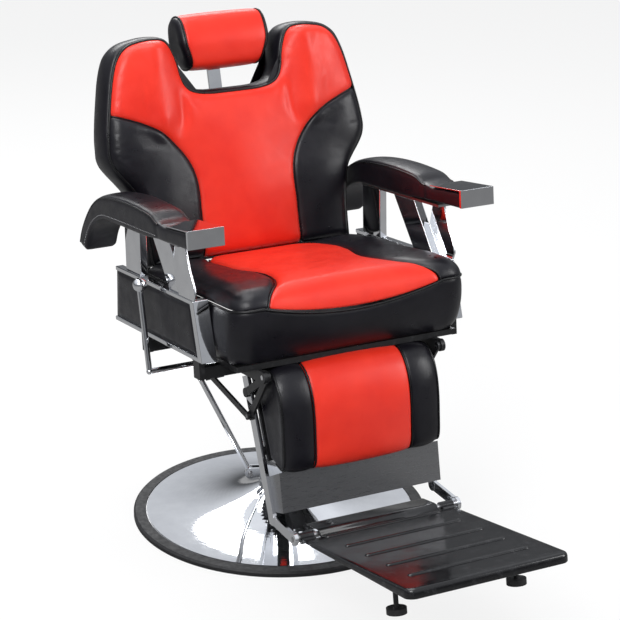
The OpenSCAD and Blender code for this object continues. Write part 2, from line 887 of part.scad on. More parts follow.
module back_bracket(side) {
    color(colour_black) on_side(side) difference() {
        union() {
            on_back() translate([back_lug_inner, back_thickness, bracket_low])
                cube([back_bracket_outer - back_lug_inner, bracket_thickness, bracket_height]);
            flat_link(back_point(back_thickness + bracket_thickness / 2, bracket_web), back_pivot,
                bracket_eye, back_bracket_inner, back_bracket_outer);
            cross_bar(back_pivot, pivot_boss, back_bracket_inner, back_bracket_outer);
            flat_link(link_start, link_end, pivot_radius, back_lug_inner, back_lug_outer);
        }
        on_back() translate([back_lug_inner, back_thickness - 2 * bracket_eye, bracket_low])
            cube([lug_thickness + past, 2 * bracket_eye, bracket_height]);
        cross_bar(back_pivot, pivot_radius + run_gap, back_bracket_inner - past, back_bracket_outer + past);
        cross_bar(link_end, rod_pin_radius, back_lug_inner - past, back_lug_outer + past);
    }
}

// Half outlines of the backrest, as shares of its shoulder half width and of its height.
back_half_shares = [
    [0.779, 0.008], [0.785, 0.123], [0.801, 0.23], [0.833, 0.328], [0.881, 0.377], [0.939, 0.424],
    [0.981, 0.463], [1, 0.5], [1, 0.537], [0.994, 0.6], [0.974, 0.68], [0.949, 0.764],
    [0.92, 0.848], [0.885, 0.916], [0.846, 0.959], [0.776, 0.992], [0.686, 1.006], [0.583, 1.012],
    [0.481, 1.008], [0.429, 0.98], [0.397, 0.934], [0.378, 0.883], [0.365, 0.836], [0.34, 0.795],
    [0.295, 0.768], [0.192, 0.754]
];
back_seam_shares = [
    [0.378, 0.008], [0.372, 0.123], [0.372, 0.225], [0.365, 0.307], [0.378, 0.379], [0.41, 0.443],
    [0.468, 0.504], [0.564, 0.574], [0.667, 0.617], [0.801, 0.658], [0.923, 0.689]
];
back_top_shares = [
    [0.907, 0.762], [0.885, 0.836], [0.853, 0.902], [0.808, 0.951], [0.744, 0.98], [0.66, 0.992],
    [0.571, 0.996], [0.487, 0.992], [0.446, 0.963], [0.42, 0.922], [0.397, 0.877], [0.385, 0.828],
    [0.356, 0.779], [0.301, 0.75], [0.192, 0.736]
];
wing_shares = [
    [0.763, 0.008], [0.769, 0.123], [0.785, 0.23], [0.817, 0.332], [0.865, 0.385], [0.923, 0.432],
    [0.962, 0.471], [0.978, 0.508], [0.978, 0.537], [0.968, 0.598], [0.952, 0.664]
];

function back_sized(shares) = sized(shares, back_shoulder, back_height);
back_half_outline = back_sized(back_half_shares);

module back_layer(outline, levels) {
    on_back() rotate([90, 0, 0]) cushion(outline, levels);
}

module back_body() {
    color(colour_black) back_layer(concat(back_half_outline, mirrored(back_half_outline)),
        drawn_in(back_panel_thickness + soft_gap - back_thickness, -back_body_front - soft_gap, side_draw));
}

module back_panel() {
    color(colour_black) back_layer(concat(back_half_outline, mirrored(back_half_outline)), [
        [-back_thickness, back_panel_thickness],
        [side_draw - back_thickness, side_draw + edge_draw],
        [back_panel_thickness - back_thickness, side_draw]
    ]);
}

module back_centre() {
    right = back_sized(concat(back_seam_shares, back_top_shares));
    color(colour_red) back_layer(concat(right, mirrored(right)),
        crowned(-back_body_front, back_pad_crown, back_round));
}

module back_wing(side) {
    seam = back_sized(back_seam_shares);
    edge = [for (i = [len(seam) - 1:-1:0]) seam[i] + 2 * [soft_gap, -soft_gap]];
    color(colour_black) on_side(side) back_layer(concat(edge, back_sized(wing_shares)),
        crowned(-back_body_front, back_pad_crown / 2, wing_round));
}

// Headrest

module headrest_guide() {
    slot = run_gap;
    color(colour_black) on_back() difference() {
        translate([-head_guide_width / 2, back_thickness, head_guide_low])
            cube([head_guide_width, head_guide_depth, head_guide_height]);
        translate([-head_bar_width / 2 - slot, head_bar_depth - slot, head_guide_low - past])
            cube([head_bar_width + 2 * slot, head_bar_thickness + 2 * slot, head_guide_height + 2 * past]);
    }
}

module headrest_bar() {
    color(colour_chrome) on_back() translate([-head_bar_width / 2, head_bar_depth, head_bar_bottom])
        cube([head_bar_width, head_bar_thickness, head_bar_top - head_bar_bottom]);
}

// Side view of the headrest pad, and its rounded ends as across and inset shares.
head_shares = [
    [0.22, 0.058], [0.549, 0], [0.879, 0.058], [0.98, 0.289], [0.991, 0.554], [0.94, 0.818],
    [0.769, 0.967], [0.484, 1], [0.22, 0.917], [0.066, 0.719], [0, 0.455], [0.066, 0.207]
];
head_end_shares = [[1, 0.15], [0.963, 0.065], [0.9, 0.01], [0.75, 0]];

module headrest_pad() {
    profile = [for (point = sized(head_shares, head_deep - soft_gap, head_tall)) point + [0, head_low]];
    right = [for (share = head_end_shares) share * head_half_width];
    left = [for (level = right) [-level[0], level[1]]];
    backward = [for (i = [len(right) - 1:-1:0]) right[i]];
    color(colour_red) on_back() rotate([90, 0, 90])
        cushion(smooth_loop(profile, soft_steps), concat(left, backward));
}

// Recline rods

leg_link_end = leg_pivot + link_arm;

module recline_rod(side) {
    color(colour_black) on_side(side) difference() {
        flat_link(leg_link_end, link_end, rod_eye, rod_inner, rod_inner + rod_thickness);
        for (point = [leg_link_end, link_end])
            cross_bar(point, rod_pin_radius + run_gap, rod_inner - past, rod_inner + rod_thickness + past);
    }
}

// Legrest

leg_knee = leg_point(0, leg_foot_knee);

module leg_bar(side) {
    half = leg_bar_width / 2;
    color(colour_chrome) on_side(side) difference() {
        union() {
            on_leg() translate([leg_bar_inner + eye_step / 2, -half, leg_foot_knee])
                cube([leg_bar_thickness - eye_step, leg_bar_width, leg_bar_top - leg_foot_knee]);
            flat_link(leg_knee, foot_pivot, half + past, leg_bar_inner, leg_bar_outer);
        }
        cross_bar(foot_pivot, foot_pin_radius, leg_bar_inner - past, leg_bar_outer + past);
        on_leg() cross_bar([0, leg_tube_high], leg_tube_radius, leg_bar_inner - past, leg_bar_outer + past);
    }
}

module leg_frame() {
    color(colour_black) {
        on_leg()
            cross_bar([0, leg_tube_high], leg_tube_radius, -leg_bar_outer - past, leg_bar_outer + past);
        on_leg() cross_bar([0, leg_tube_low], leg_tube_radius, -leg_bar_inner, leg_bar_inner);
        for (side = [-1, 1]) on_side(side) leg_gusset();
    }
}

module leg_gusset() {
    gusset_outer = leg_bar_outer + gusset_thickness;
    difference() {
        union() {
            flat_link(leg_point(0, leg_tube_high), leg_pivot, pivot_radius, leg_bar_outer, gusset_outer);
            flat_link(leg_pivot, leg_link_end, pivot_radius, leg_bar_outer, gusset_outer);
        }
        cross_bar(leg_pivot, leg_pin_radius + run_gap, leg_bar_outer - past, gusset_outer + past);
        cross_bar(leg_link_end, rod_pin_radius, leg_bar_outer - past, gusset_outer + past);
    }
}

module leg_pins() {
    color(colour_steel) {
        for (side = [-1, 1]) on_side(side)
            cross_bar(leg_link_end, rod_pin_radius, leg_bar_outer, rod_inner + rod_thickness);
        cross_bar(foot_pivot, foot_pin_radius, -leg_bar_outer, leg_bar_outer);
    }
}

module calf_board() {
    color(colour_wood) on_leg()
        translate([-calf_half_width, -leg_tube_radius - calf_board_thickness, calf_bottom])
        cube([2 * calf_half_width, calf_board_thickness, calf_top - calf_bottom]);
}

calf_back = -leg_tube_radius - calf_board_thickness - soft_gap;
calf_bulge = 132;
calf_drop = 196;
// Front of the calf pad in side view, as shares of its bulge and of its drop.
calf_shares = [
    [-0.333, 0.066], [-0.545, 0.071], [-0.735, 0.046], [-0.871, -0.015], [-0.962, -0.112],
    [-1, -0.224], [-0.992, -0.362], [-0.932, -0.541], [-0.833, -0.735], [-0.712, -0.918],
    [-0.606, -0.995], [-0.5, -1]
];
calf_profile = concat(sized(calf_shares, calf_bulge, calf_drop),
    [[calf_back, calf_bottom], [calf_back, calf_top]]);

module calf_centre() {
    reach = calf_seam - soft_gap / 2;
    color(colour_red) on_leg() rotate([90, 0, 90])
        cushion(calf_profile, drawn_in(-reach, reach, edge_draw));
}

module calf_side(side) {
    reach = calf_seam + soft_gap / 2;
    color(colour_black) on_side(side) on_leg() rotate([90, 0, 90]) cushion(calf_profile, [
        [reach, edge_draw],
        [reach + edge_draw, 0],
        [calf_half_width - 3 * side_draw, edge_draw / 2],
        [calf_half_width - side_draw, side_draw],
        [calf_half_width, 2 * side_draw]
    ]);
}

toe_skin = 3;
toe_high = [-64, -199];
toe_low = [-45, -281];
toe_return = leg_bar_width / 2 - toe_skin;

module toe_plate() {
    skin = [toe_skin, 0];
    taper = [0, 2 * toe_skin];
    color(colour_steel) on_leg() {
        side_plate([toe_high, toe_low, toe_low + skin, toe_high + skin], -leg_bar_inner, leg_bar_inner);
        for (side = [-1, 1]) on_side(side) side_plate([
            toe_high,
            toe_low,
            [toe_return, toe_low[1]] + taper,
            [toe_return, toe_high[1]] - taper
        ], leg_bar_inner - toe_skin, leg_bar_inner);
    }
}

// Footplate

module footplate() {
    front = -footplate_length;
    knuckle_start = footplate_half_width - knuckle_length;
    color(colour_black) on_footplate() difference() {
        union() {
            translate([-footplate_half_width, front, plate_base])
                cube([2 * footplate_half_width, footplate_length - plate_edge, plate_skin]);
            translate([-footplate_half_width, front, plate_base + plate_skin - plate_lip])
                cube([2 * footplate_half_width, plate_skin, plate_lip]);
            for (side = [-1, 1]) on_side(side) {
                translate([footplate_half_width - plate_skin, front, plate_base + plate_skin - plate_lip])
                    cube([plate_skin, footplate_length - plate_edge - knuckle_radius, plate_lip]);
                cross_bar([0, 0], knuckle_radius, knuckle_start, footplate_half_width);
                translate([knuckle_start, -plate_edge - knuckle_radius, plate_base])
                    cube([knuckle_length, plate_edge + knuckle_radius, plate_skin]);
            }
            for (rib = [0:rib_count - 1])
                translate([-rib_half_length, -rib_start - rib * rib_spacing - rib_width, plate_base])
                    cube([2 * rib_half_length, rib_width, plate_skin + rib_height]);
        }
        cross_bar([0, 0], foot_pin_radius + run_gap, -long_reach, long_reach);
    }
}

module foot_glides() {
    color(colour_black) on_footplate() for (side = [-1, 1])
        translate([side * glide_offset, -glide_along, plate_base - glide_stem]) {
            cylinder(h = glide_stem, r = glide_stem_radius, $fn = round_steps / 2);
            cylinder(h = glide_height, r = glide_radius, $fn = round_steps / 2);
        }
}

base_ring();
base_plate();
base_dome();
base_bolts();
pump_cylinder();
cylinder_collar();
pump_lever();
pump_lever_pin();
pump_lever_grip();
piston();
swivel_hub();
seat_frame();
mount_bolts();
side_panel(-1);  // side_panel_left
side_panel(1);  // side_panel_right
side_trim(-1);  // side_trim_left
side_trim(1);  // side_trim_right
arm_rear_post(-1);  // arm_rear_post_left
arm_rear_post(1);  // arm_rear_post_right
arm_front_post(-1);  // arm_front_post_left
arm_front_post(1);  // arm_front_post_right
arm_rail(-1);  // arm_rail_left
arm_rail(1);  // arm_rail_right
arm_pad(-1);  // arm_pad_left
arm_pad(1);  // arm_pad_right
arm_cap(-1);  // arm_cap_left
arm_cap(1);  // arm_cap_right
seat_board();
seat_body();
seat_centre();
seat_bolster(-1);  // seat_bolster_left
seat_bolster(1);  // seat_bolster_right
recline_lever();
lever_knob();
recline_lock();
frame_pins();
back_pins();
back_bracket(-1);  // back_bracket_left
back_bracket(1);  // back_bracket_right
back_panel();
back_body();
back_centre();
back_wing(-1);  // back_wing_left
back_wing(1);  // back_wing_right
headrest_guide();
headrest_bar();
headrest_pad();
recline_rod(-1);  // recline_rod_left
recline_rod(1);  // recline_rod_right
leg_bar(-1);  // leg_bar_left
leg_bar(1);  // leg_bar_right
leg_frame();
calf_board();
calf_centre();
calf_side(-1);  // calf_side_left
calf_side(1);  // calf_side_right
toe_plate();
leg_pins();
footplate();
foot_glides();
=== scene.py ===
"""Reclining barber chair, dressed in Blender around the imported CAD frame."""
import json
import math

import bmesh
import bpy
import numpy as np
from mathutils import Matrix, Vector
from mathutils.geometry import delaunay_2d_cdt

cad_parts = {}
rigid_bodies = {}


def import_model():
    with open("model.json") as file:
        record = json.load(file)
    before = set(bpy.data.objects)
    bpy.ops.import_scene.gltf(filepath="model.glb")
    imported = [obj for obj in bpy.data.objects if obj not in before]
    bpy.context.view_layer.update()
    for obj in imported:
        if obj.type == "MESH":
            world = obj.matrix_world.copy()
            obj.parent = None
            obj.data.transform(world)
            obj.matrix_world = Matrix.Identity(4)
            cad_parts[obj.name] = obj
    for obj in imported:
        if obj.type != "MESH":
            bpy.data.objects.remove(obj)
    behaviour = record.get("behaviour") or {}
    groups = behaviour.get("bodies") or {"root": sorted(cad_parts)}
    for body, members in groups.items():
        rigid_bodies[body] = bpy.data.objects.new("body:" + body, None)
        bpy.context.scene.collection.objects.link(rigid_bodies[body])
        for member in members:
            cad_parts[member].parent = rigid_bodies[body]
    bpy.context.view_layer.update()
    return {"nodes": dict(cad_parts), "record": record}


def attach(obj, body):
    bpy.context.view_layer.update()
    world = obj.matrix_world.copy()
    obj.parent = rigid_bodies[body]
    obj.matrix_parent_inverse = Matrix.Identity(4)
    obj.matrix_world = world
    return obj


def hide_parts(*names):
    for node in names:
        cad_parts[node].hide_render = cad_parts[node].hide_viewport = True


# The start-up file's own objects are not wanted

for leftover in list(bpy.data.objects):
    bpy.data.objects.remove(leftover)

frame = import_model()

MM = 0.001
SEAT_HEIGHT = 450
SEAT_TILT = math.radians(7.3)
BACK_FOOT = (132, 567)
BACK_LEAN = math.radians(16.4)
LEG_ORIGIN = (-226, 434)
LEG_LEAN = math.radians(25)
SIDES = ((-1, "left"), (1, "right"))
SAME_PLACE = 1e-6
FLAT_TURN = math.radians(1.0)


# Places, all in millimetres in the part's own planes


def tilted(point, origin, angle):
    """x across, second value along, third value up a plane tilted about x."""
    x, along, up = point
    y = origin[0] + along * math.cos(angle) + up * math.sin(angle)
    z = origin[1] - along * math.sin(angle) + up * math.cos(angle)
    return (x * MM, y * MM, z * MM)


def on_seat(x, along, up):
    return tilted((x, along, up), (0, SEAT_HEIGHT), SEAT_TILT)


def on_back(x, up, depth):
    """x across, up along the backrest, depth into it from the sitter's side."""
    return tilted((x, depth, up), BACK_FOOT, BACK_LEAN)


def on_leg(x, along, up):
    return tilted((x, along, up), LEG_ORIGIN, LEG_LEAN)


# Small numeric helpers


def smooth(value, low, high):
    share = min(max((value - low) / (high - low), 0.0), 1.0)
    return share * share * (3 - 2 * share)


def bump(value, middle, width):
    return math.exp(-(((value - middle) / width) ** 2))


def catmull(points, steps, closed):
    """A smooth line through the points, with the given steps between neighbours."""
    pts = [np.array(p, float) for p in points]
    count = len(pts)
    spans = count if closed else count - 1
    line = []
    for i in range(spans):
        if closed:
            a, b, c, d = (pts[(i + k) % count] for k in (-1, 0, 1, 2))
        else:
            a, b, c, d = (pts[min(max(i + k, 0), count - 1)] for k in (-1, 0, 1, 2))
        for step in range(steps):
            t = step / steps
            line.append((2 * b + (c - a) * t + (2 * a - 5 * b + 4 * c - d) * t ** 2
                         + (3 * b - a - 3 * c + d) * t ** 3) / 2)
    if not closed:
        line.append(pts[-1])
    return np.array(line)


def respaced(line, spacing, closed):
    """The same line with points at an even spacing."""
    pts = np.vstack([line, line[:1]]) if closed else np.array(line)
    length = np.concatenate([[0], np.cumsum(np.linalg.norm(np.diff(pts, axis=0), axis=1))])
    count = max(int(round(length[-1] / spacing)), 2)
    where = np.linspace(0, length[-1], count + 1)
    if closed:
        where = where[:-1]
    return np.stack([np.interp(where, length, pts[:, k]) for k in range(pts.shape[1])], axis=1)


def distance_to(points, line, closed):
    """Distance of each 2D point to a polyline."""
    start = np.array(line)
    stop = np.roll(start, -1, axis=0)
    if not closed:
        start, stop = start[:-1], stop[:-1]
    reach = stop - start
    size = np.maximum((reach ** 2).sum(axis=1), 1e-9)
    from_start = points[:, None, :] - start[None]
    share = np.clip((from_start * reach[None]).sum(axis=2) / size, 0, 1)
    return np.linalg.norm(from_start - share[..., None] * reach[None], axis=2).min(axis=1)


def inset(outline, inward):
    """A closed outline, counter-clockwise, moved inward along its normals."""
    pts = np.array(outline)
    along = np.roll(pts, -1, axis=0) - np.roll(pts, 1, axis=0)
    along /= np.linalg.norm(along, axis=1)[:, None]
    return pts + inward * np.stack([-along[:, 1], along[:, 0]], axis=1)


def mirrored(points):
    return [(-x, y) for x, y in reversed(list(points))]


def from_both_ends(half, steps):
    """Stations along x with their insets, from steps inward from one end up to the middle."""
    left = [(step - half, inward) for step, inward in steps]
    return left + mirrored(left[:-1])


# Materials


class Nodes:
    """A node tree that is built node by node; a value or another node's output feeds each input."""

    def __init__(self, tree):
        self.tree = tree

    def add(self, kind, **inputs):
        node = self.tree.nodes.new("ShaderNode" + kind)
        for key, value in inputs.items():
            self.feed(node, key, value)
        return node

    def feed(self, node, key, value):
        socket = node.inputs[key.replace("_", " ")] if isinstance(key, str) else node.inputs[key]
        if isinstance(value, bpy.types.NodeSocket):
            self.tree.links.new(value, socket)
        else:
            socket.default_value = value

    def ranged(self, value, low, high, start=0.3, stop=0.7):
        """The value's stretch from start to stop, spread from low to high."""
        node = self.add("MapRange", Value=value, From_Min=start, From_Max=stop, To_Min=low, To_Max=high)
        return node.outputs["Result"]

    def combined(self, operation, *values):
        node = self.add("Math")
        node.operation = operation
        for place, value in enumerate(values):
            self.feed(node, place, value)
        return node.outputs[0]

    def blended(self, share, first, second):
        node = self.add("MixShader")
        for place, value in enumerate((share, first, second)):
            self.feed(node, place, value)
        return node.outputs[0]


class Shader(Nodes):
    """One procedural material."""

    def __init__(self, name):
        self.material = bpy.data.materials.new(name)
        self.material.use_nodes = True
        super().__init__(self.material.node_tree)
        self.surface = self.tree.nodes["Principled BSDF"]
        self.place = self.add("TexCoord").outputs["Object"]
        self.height = None

    def set(self, **values):
        for key, value in values.items():
            self.feed(self.surface, key, value)

    def noise(self, scale, detail, vector=None):
        return self.add("TexNoise", Vector=vector or self.place, Scale=scale, Detail=detail).outputs["Fac"]

    def clouds(self, scale, detail, low=0.0, high=1.0):
        """Noise whose middle values are spread from low to high."""
        return self.ranged(self.noise(scale, detail), low, high)

    def mixed(self, share, first, second):
        node = self.add("Mix")
        node.data_type = "RGBA"
        self.feed(node, 0, share)
        self.feed(node, 6, first)
        self.feed(node, 7, second)
        return node.outputs[2]

    def relief(self, value, strength, depth):
        """Adds a bump to the ones already there; depth in metres."""
        node = self.add("Bump", Height=value, Strength=strength, Distance=depth)
        if self.height is not None:
            self.feed(node, "Normal", self.height)
        self.height = node.outputs["Normal"]
        self.feed(self.surface, "Normal", self.height)


def colour(red, green, blue):
    return (red, green, blue, 1.0)


def tinted(base, shares):
    return colour(*(channel * share for channel, share in zip(base, shares)))


def vinyl(name, base, deep, gloss):
    """Leather-look vinyl: fine grain cells, soft creases, uneven sheen."""
    shader = Shader(name)
    shader.set(Base_Color=shader.mixed(shader.clouds(scale=14.0, detail=6.0), base, deep))
    shader.set(Roughness=shader.clouds(scale=40.0, detail=8.0, low=gloss - 0.06, high=gloss + 0.08))
    shader.set(Coat_Weight=0.05, Coat_Roughness=0.28, Specular_IOR_Level=0.34)
    grain = shader.add("TexVoronoi", Vector=shader.place, Scale=620.0).outputs["Distance"]
    shader.relief(shader.noise(scale=9.0, detail=3.0), strength=0.35, depth=0.004)
    shader.relief(shader.noise(scale=55.0, detail=5.0), strength=0.25, depth=0.0009)
    shader.relief(grain, strength=0.32, depth=0.00035)
    return shader.material


def metal(name, base, rough_low, rough_high, smudge=24.0):
    """Plated or polished metal with faint smudges and orange peel."""
    shader = Shader(name)
    smears = shader.clouds(scale=smudge, detail=5.0)
    shader.set(Metallic=1.0, Base_Color=shader.mixed(smears, base, tinted(base, (0.9, 0.9, 0.91))))
    shader.set(Roughness=shader.clouds(scale=smudge * 2.5, detail=8.0, low=rough_low, high=rough_high))
    shader.relief(shader.noise(scale=180.0, detail=2.0), strength=0.05, depth=0.0004)
    return shader.material


def brushed(name, base, direction, rough):
    """Metal with a fine grain of scratches along one direction."""
    shader = Shader(name)
    stretched = shader.add("Mapping", Vector=shader.place, Scale=direction).outputs["Vector"]
    lines = shader.noise(scale=1.0, detail=6.0, vector=stretched)
    share = shader.ranged(lines, low=0.0, high=1.0)
    shader.set(Metallic=1.0, Base_Color=shader.mixed(share, base, tinted(base, (0.8, 0.8, 0.8))))
    shader.set(Roughness=shader.ranged(lines, low=rough - 0.07, high=rough + 0.1))
    shader.relief(lines, strength=0.18, depth=0.0002)
    return shader.material


def painted(name, base, rough, peel):
    """Gloss or satin coating with orange peel, dust and a little scuffing."""
    shader = Shader(name)
    dust = shader.ranged(shader.noise(scale=70.0, detail=8.0), low=0.0, high=1.0, start=0.55, stop=0.8)
    dusty = colour(*(channel + grey for channel, grey in zip(base, DUST)))
    shader.set(Base_Color=shader.mixed(dust, base, dusty))
    shader.set(Roughness=shader.clouds(scale=26.0, detail=7.0, low=rough - 0.05, high=rough + 0.09))
    shader.relief(shader.noise(scale=peel, detail=3.0), strength=0.12, depth=0.0005)
    return shader.material


def rubber(name, base):
    """Matt rubber or thread with a pale bloom."""
    shader = Shader(name)
    bloom = shader.clouds(scale=45.0, detail=8.0)
    shader.set(Base_Color=shader.mixed(bloom, base, tinted(base, (1.7, 1.7, 1.7))))
    shader.set(Roughness=shader.clouds(scale=120.0, detail=4.0, low=0.5, high=0.72))
    shader.relief(shader.noise(scale=700.0, detail=3.0), strength=0.3, depth=0.0003)
    return shader.material


DUST = (0.02, 0.02, 0.022)
RED = vinyl("red_vinyl", colour(0.83, 0.037, 0.018), colour(0.74, 0.024, 0.012), gloss=0.36)
BLACK = vinyl("black_vinyl", colour(0.004, 0.0035, 0.006), colour(0.008, 0.0075, 0.011), gloss=0.33)
TRIM = vinyl("black_piping", colour(0.003, 0.003, 0.004), colour(0.006, 0.006, 0.007), gloss=0.30)
THREAD = rubber("grey_thread", colour(0.22, 0.22, 0.23))
CHROME = metal("bright_chrome", colour(0.88, 0.89, 0.91), rough_low=0.02, rough_high=0.06)
SATIN = brushed("satin_steel", colour(0.36, 0.36, 0.37), direction=(40.0, 900.0, 900.0), rough=0.30)
STEEL = brushed("plain_steel", colour(0.42, 0.42, 0.43), direction=(200.0, 200.0, 900.0), rough=0.36)
GLOSS_BLACK = painted("gloss_black", colour(0.006, 0.006, 0.007), rough=0.16, peel=160.0)
SATIN_BLACK = painted("satin_black", colour(0.008, 0.008, 0.009), rough=0.34, peel=240.0)
RUBBER = rubber("black_rubber", colour(0.007, 0.007, 0.008))


# Mesh building


def placed(name, data):
    piece = bpy.data.objects.new(name, data)
    bpy.context.scene.collection.objects.link(piece)
    return piece


def finished(name, mesh, material, body, replaced=(), shade=True):
    """A mesh as a piece with its material, riding on a body, in place of the replaced nodes."""
    piece = placed(name, mesh)
    mesh.materials.clear()
    mesh.materials.append(material)
    if shade:
        mesh.shade_smooth()
    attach(piece, body)
    if replaced:
        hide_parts(*replaced)
    return piece


def mesh_from(name, points, faces):
    """A mesh with joined points and outward faces."""
    mesh = bpy.data.meshes.new(name)
    mesh.from_pydata([tuple(p) for p in points], [], [tuple(int(i) for i in f) for f in faces])
    mesh.validate()
    work = bmesh.new()
    work.from_mesh(mesh)
    bmesh.ops.remove_doubles(work, verts=work.verts, dist=SAME_PLACE)
    bmesh.ops.recalc_face_normals(work, faces=work.faces)
    work.to_mesh(mesh)
    work.free()
    return mesh


def solid(name, shape, material, body, replaced=(), shade=True):
    """A finished piece from its points and faces."""
    return finished(name, mesh_from(name, *shape), material, body, replaced, shade)


def cushioned(name, shape, material, body, node):
    """A padded piece from its points and faces, smoothed once, in place of a soft node."""
    piece = solid(name, shape, material, body, (node,))
    smoothing = piece.modifiers.new("smooth", "SUBSURF")
    smoothing.levels = smoothing.render_levels = 1
    return piece


def closed_grid(rows, backs):
    """A closed sheet: a grid of points, its copy behind, and the walls between."""
    height, width = len(rows), len(rows[0])
    points = [p for row in rows for p in row] + [p for row in backs for p in row]
    far = height * width
    faces = []
    for i in range(height - 1):
        for j in range(width - 1):
            a, b = i * width + j, (i + 1) * width + j
            faces.append((a, a + 1, b + 1, b))
            faces.append((far + a, far + b, far + b + 1, far + a + 1))
    rim = list(range(width)) + [i * width + width - 1 for i in range(1, height)]
    rim += [(height - 1) * width + j for j in range(width - 2, -1, -1)]
    rim += [i * width for i in range(height - 2, 0, -1)]
    for a, b in zip(rim, rim[1:] + rim[:1]):
        faces.append((a, far + a, far + b, b))
    return points, faces


def lofted(rings):
    """A closed skin over rings of equal length, with both ends filled."""
    count = len(rings[0])
    points = [p for ring in rings for p in ring]
    faces = []
    for level in range(len(rings) - 1):
        for i in range(count):
            a, b = level * count + i, level * count + (i + 1) % count
            faces.append((a, b, b + count, a + count))
    for first in (0, (len(rings) - 1) * count):
        middle = len(points)
        ring = np.array(points[first:first + count])
        points.append(tuple(ring.mean(axis=0)))
        faces += [(first + i, first + (i + 1) % count, middle) for i in range(count)]
    return points, faces


EDGE_RING_SHARES = (0.45, 1.0)
EDGE_CLEAR_SHARE = 1.5
KEEP_INSIDE = 1
SAME_POINT = 1e-5


def flat_filling(outline, spacing):
    """Points and triangles that fill an outline, in even rows inside two rings along its edge."""
    edge = respaced(np.array(outline), spacing, True)
    low, high = edge.min(axis=0), edge.max(axis=0)
    inner = [inset(edge, spacing * share) for share in EDGE_RING_SHARES]
    grid = []
    row_height = spacing * math.sqrt(3) / 2
    for row, up in enumerate(np.arange(low[1], high[1], row_height)):
        shift = spacing / 2 if row % 2 else 0
        grid += [(x, up) for x in np.arange(low[0] + shift, high[0], spacing)]
    grid = np.array(grid)
    grid = grid[distance_to(grid, edge, True) > spacing * EDGE_CLEAR_SHARE]
    flat = np.vstack([edge] + inner + [grid])
    count = len(edge)
    loop = [(i, (i + 1) % count) for i in range(count)]
    filled = delaunay_2d_cdt([Vector(p) for p in flat], loop, [list(range(count))], KEEP_INSIDE, SAME_POINT)
    verts, faces = filled[0], filled[2]
    used = sorted({i for face in faces for i in face})
    renumber = {old: new for new, old in enumerate(used)}
    return np.array([verts[i] for i in used]), [tuple(renumber[i] for i in face) for face in faces]


def panel(outline, spacing, place, thickness):
    """A sewn panel filling an outline; place(points, behind) gives its real points."""
    flat, faces = flat_filling(outline, spacing)
    front = place(flat, 0.0)
    back = place(flat, thickness)
    far = len(flat)
    sides = {}
    for face in faces:
        for a, b in zip(face, face[1:] + face[:1]):
            sides[(a, b)] = sides.get((a, b), 0) + 1
    rim = [(a, b) for (a, b) in sides if (b, a) not in sides]
    all_faces = faces + [tuple(far + i for i in reversed(face)) for face in faces]
    all_faces += [(b, a, far + a, far + b) for a, b in rim]
    return list(front) + list(back), all_faces


def inflate(mesh, pinned, cap, pressure=4.0, frames=14):
    """Swells a closed mesh as cloth under pressure; pinned(point) holds it, cap limits it."""
    piece = placed("inflating", mesh)
    start = np.array([v.co[:] for v in mesh.vertices])
    group = piece.vertex_groups.new(name="pinned")
    for i, point in enumerate(start):
        group.add([i], min(max(pinned(point), 0.0), 1.0), "REPLACE")
    cloth = piece.modifiers.new("cloth", "CLOTH")
    settings = cloth.settings
    settings.use_pressure = True
    settings.uniform_pressure_force = pressure
    settings.vertex_group_mass = "pinned"
    settings.tension_stiffness = 22
    settings.compression_stiffness = 22
    settings.bending_stiffness = 3.0
    settings.quality = 5
    settings.effector_weights.gravity = 0.0
    cloth.collision_settings.use_collision = False
    cloth.point_cache.frame_start = 1
    cloth.point_cache.frame_end = frames
    scene = bpy.context.scene
    for step in range(1, frames + 1):
        scene.frame_set(step)
    graph = bpy.context.evaluated_depsgraph_get()
    swollen = piece.evaluated_get(graph).to_mesh()
    moved = np.array([v.co[:] for v in swollen.vertices]) - start
    piece.evaluated_get(graph).to_mesh_clear()
    size = np.linalg.norm(moved, axis=1)
    keep = np.where(size > cap, cap / np.maximum(size, SAME_PLACE), 1.0)
    final = start + moved * keep[:, None]
    mesh.vertices.foreach_set("co", final.ravel())
    mesh.update()
    scene.frame_set(1)
    bpy.data.objects.remove(piece)


def tube(name, line, radius, material, body, closed=False):
    """A round cord along a line, as a mesh with round ends."""
    curve = bpy.data.curves.new(name, "CURVE")
    curve.dimensions = "3D"
    curve.bevel_depth = radius * MM
    curve.bevel_resolution = 3
    curve.use_fill_caps = True
    spline = curve.splines.new("POLY")
    spline.points.add(len(line) - 1)
    for point, place in zip(spline.points, line):
        point.co = (*place, 1.0)
    spline.use_cyclic_u = closed
    carrier = placed(name, curve)
    graph = bpy.context.evaluated_depsgraph_get()
    mesh = bpy.data.meshes.new_from_object(carrier.evaluated_get(graph))
    bpy.data.objects.remove(carrier)
    mesh.name = name
    finished(name, mesh, material, body)


def stitches(name, line, outward, body, pitch=8.0, length=5.0, radius=0.8):
    """A row of thread stitches lying on a surface along a line in metres."""
    path = respaced(np.array(line), pitch * MM, False)
    work = bmesh.new()
    for here, after in zip(path[:-1], path[1:]):
        along = Vector(after - here).normalized()
        middle = Vector((here + after) / 2) + Vector(outward) * radius * MM
        turn = along.to_track_quat("Z", "Y").to_matrix().to_4x4()
        size = Matrix.Diagonal((radius * MM, radius * MM, length * MM / 2, 1))
        place = Matrix.Translation(middle) @ turn @ size
        bmesh.ops.create_icosphere(work, subdivisions=1, radius=1.0, matrix=place)
    mesh = bpy.data.meshes.new(name)
    work.to_mesh(mesh)
    work.free()
    finished(name, mesh, THREAD, body)


def body_of(node):
    bodies = frame["record"]["behaviour"]["bodies"]
    return next(name for name, nodes in bodies.items() if node in nodes)


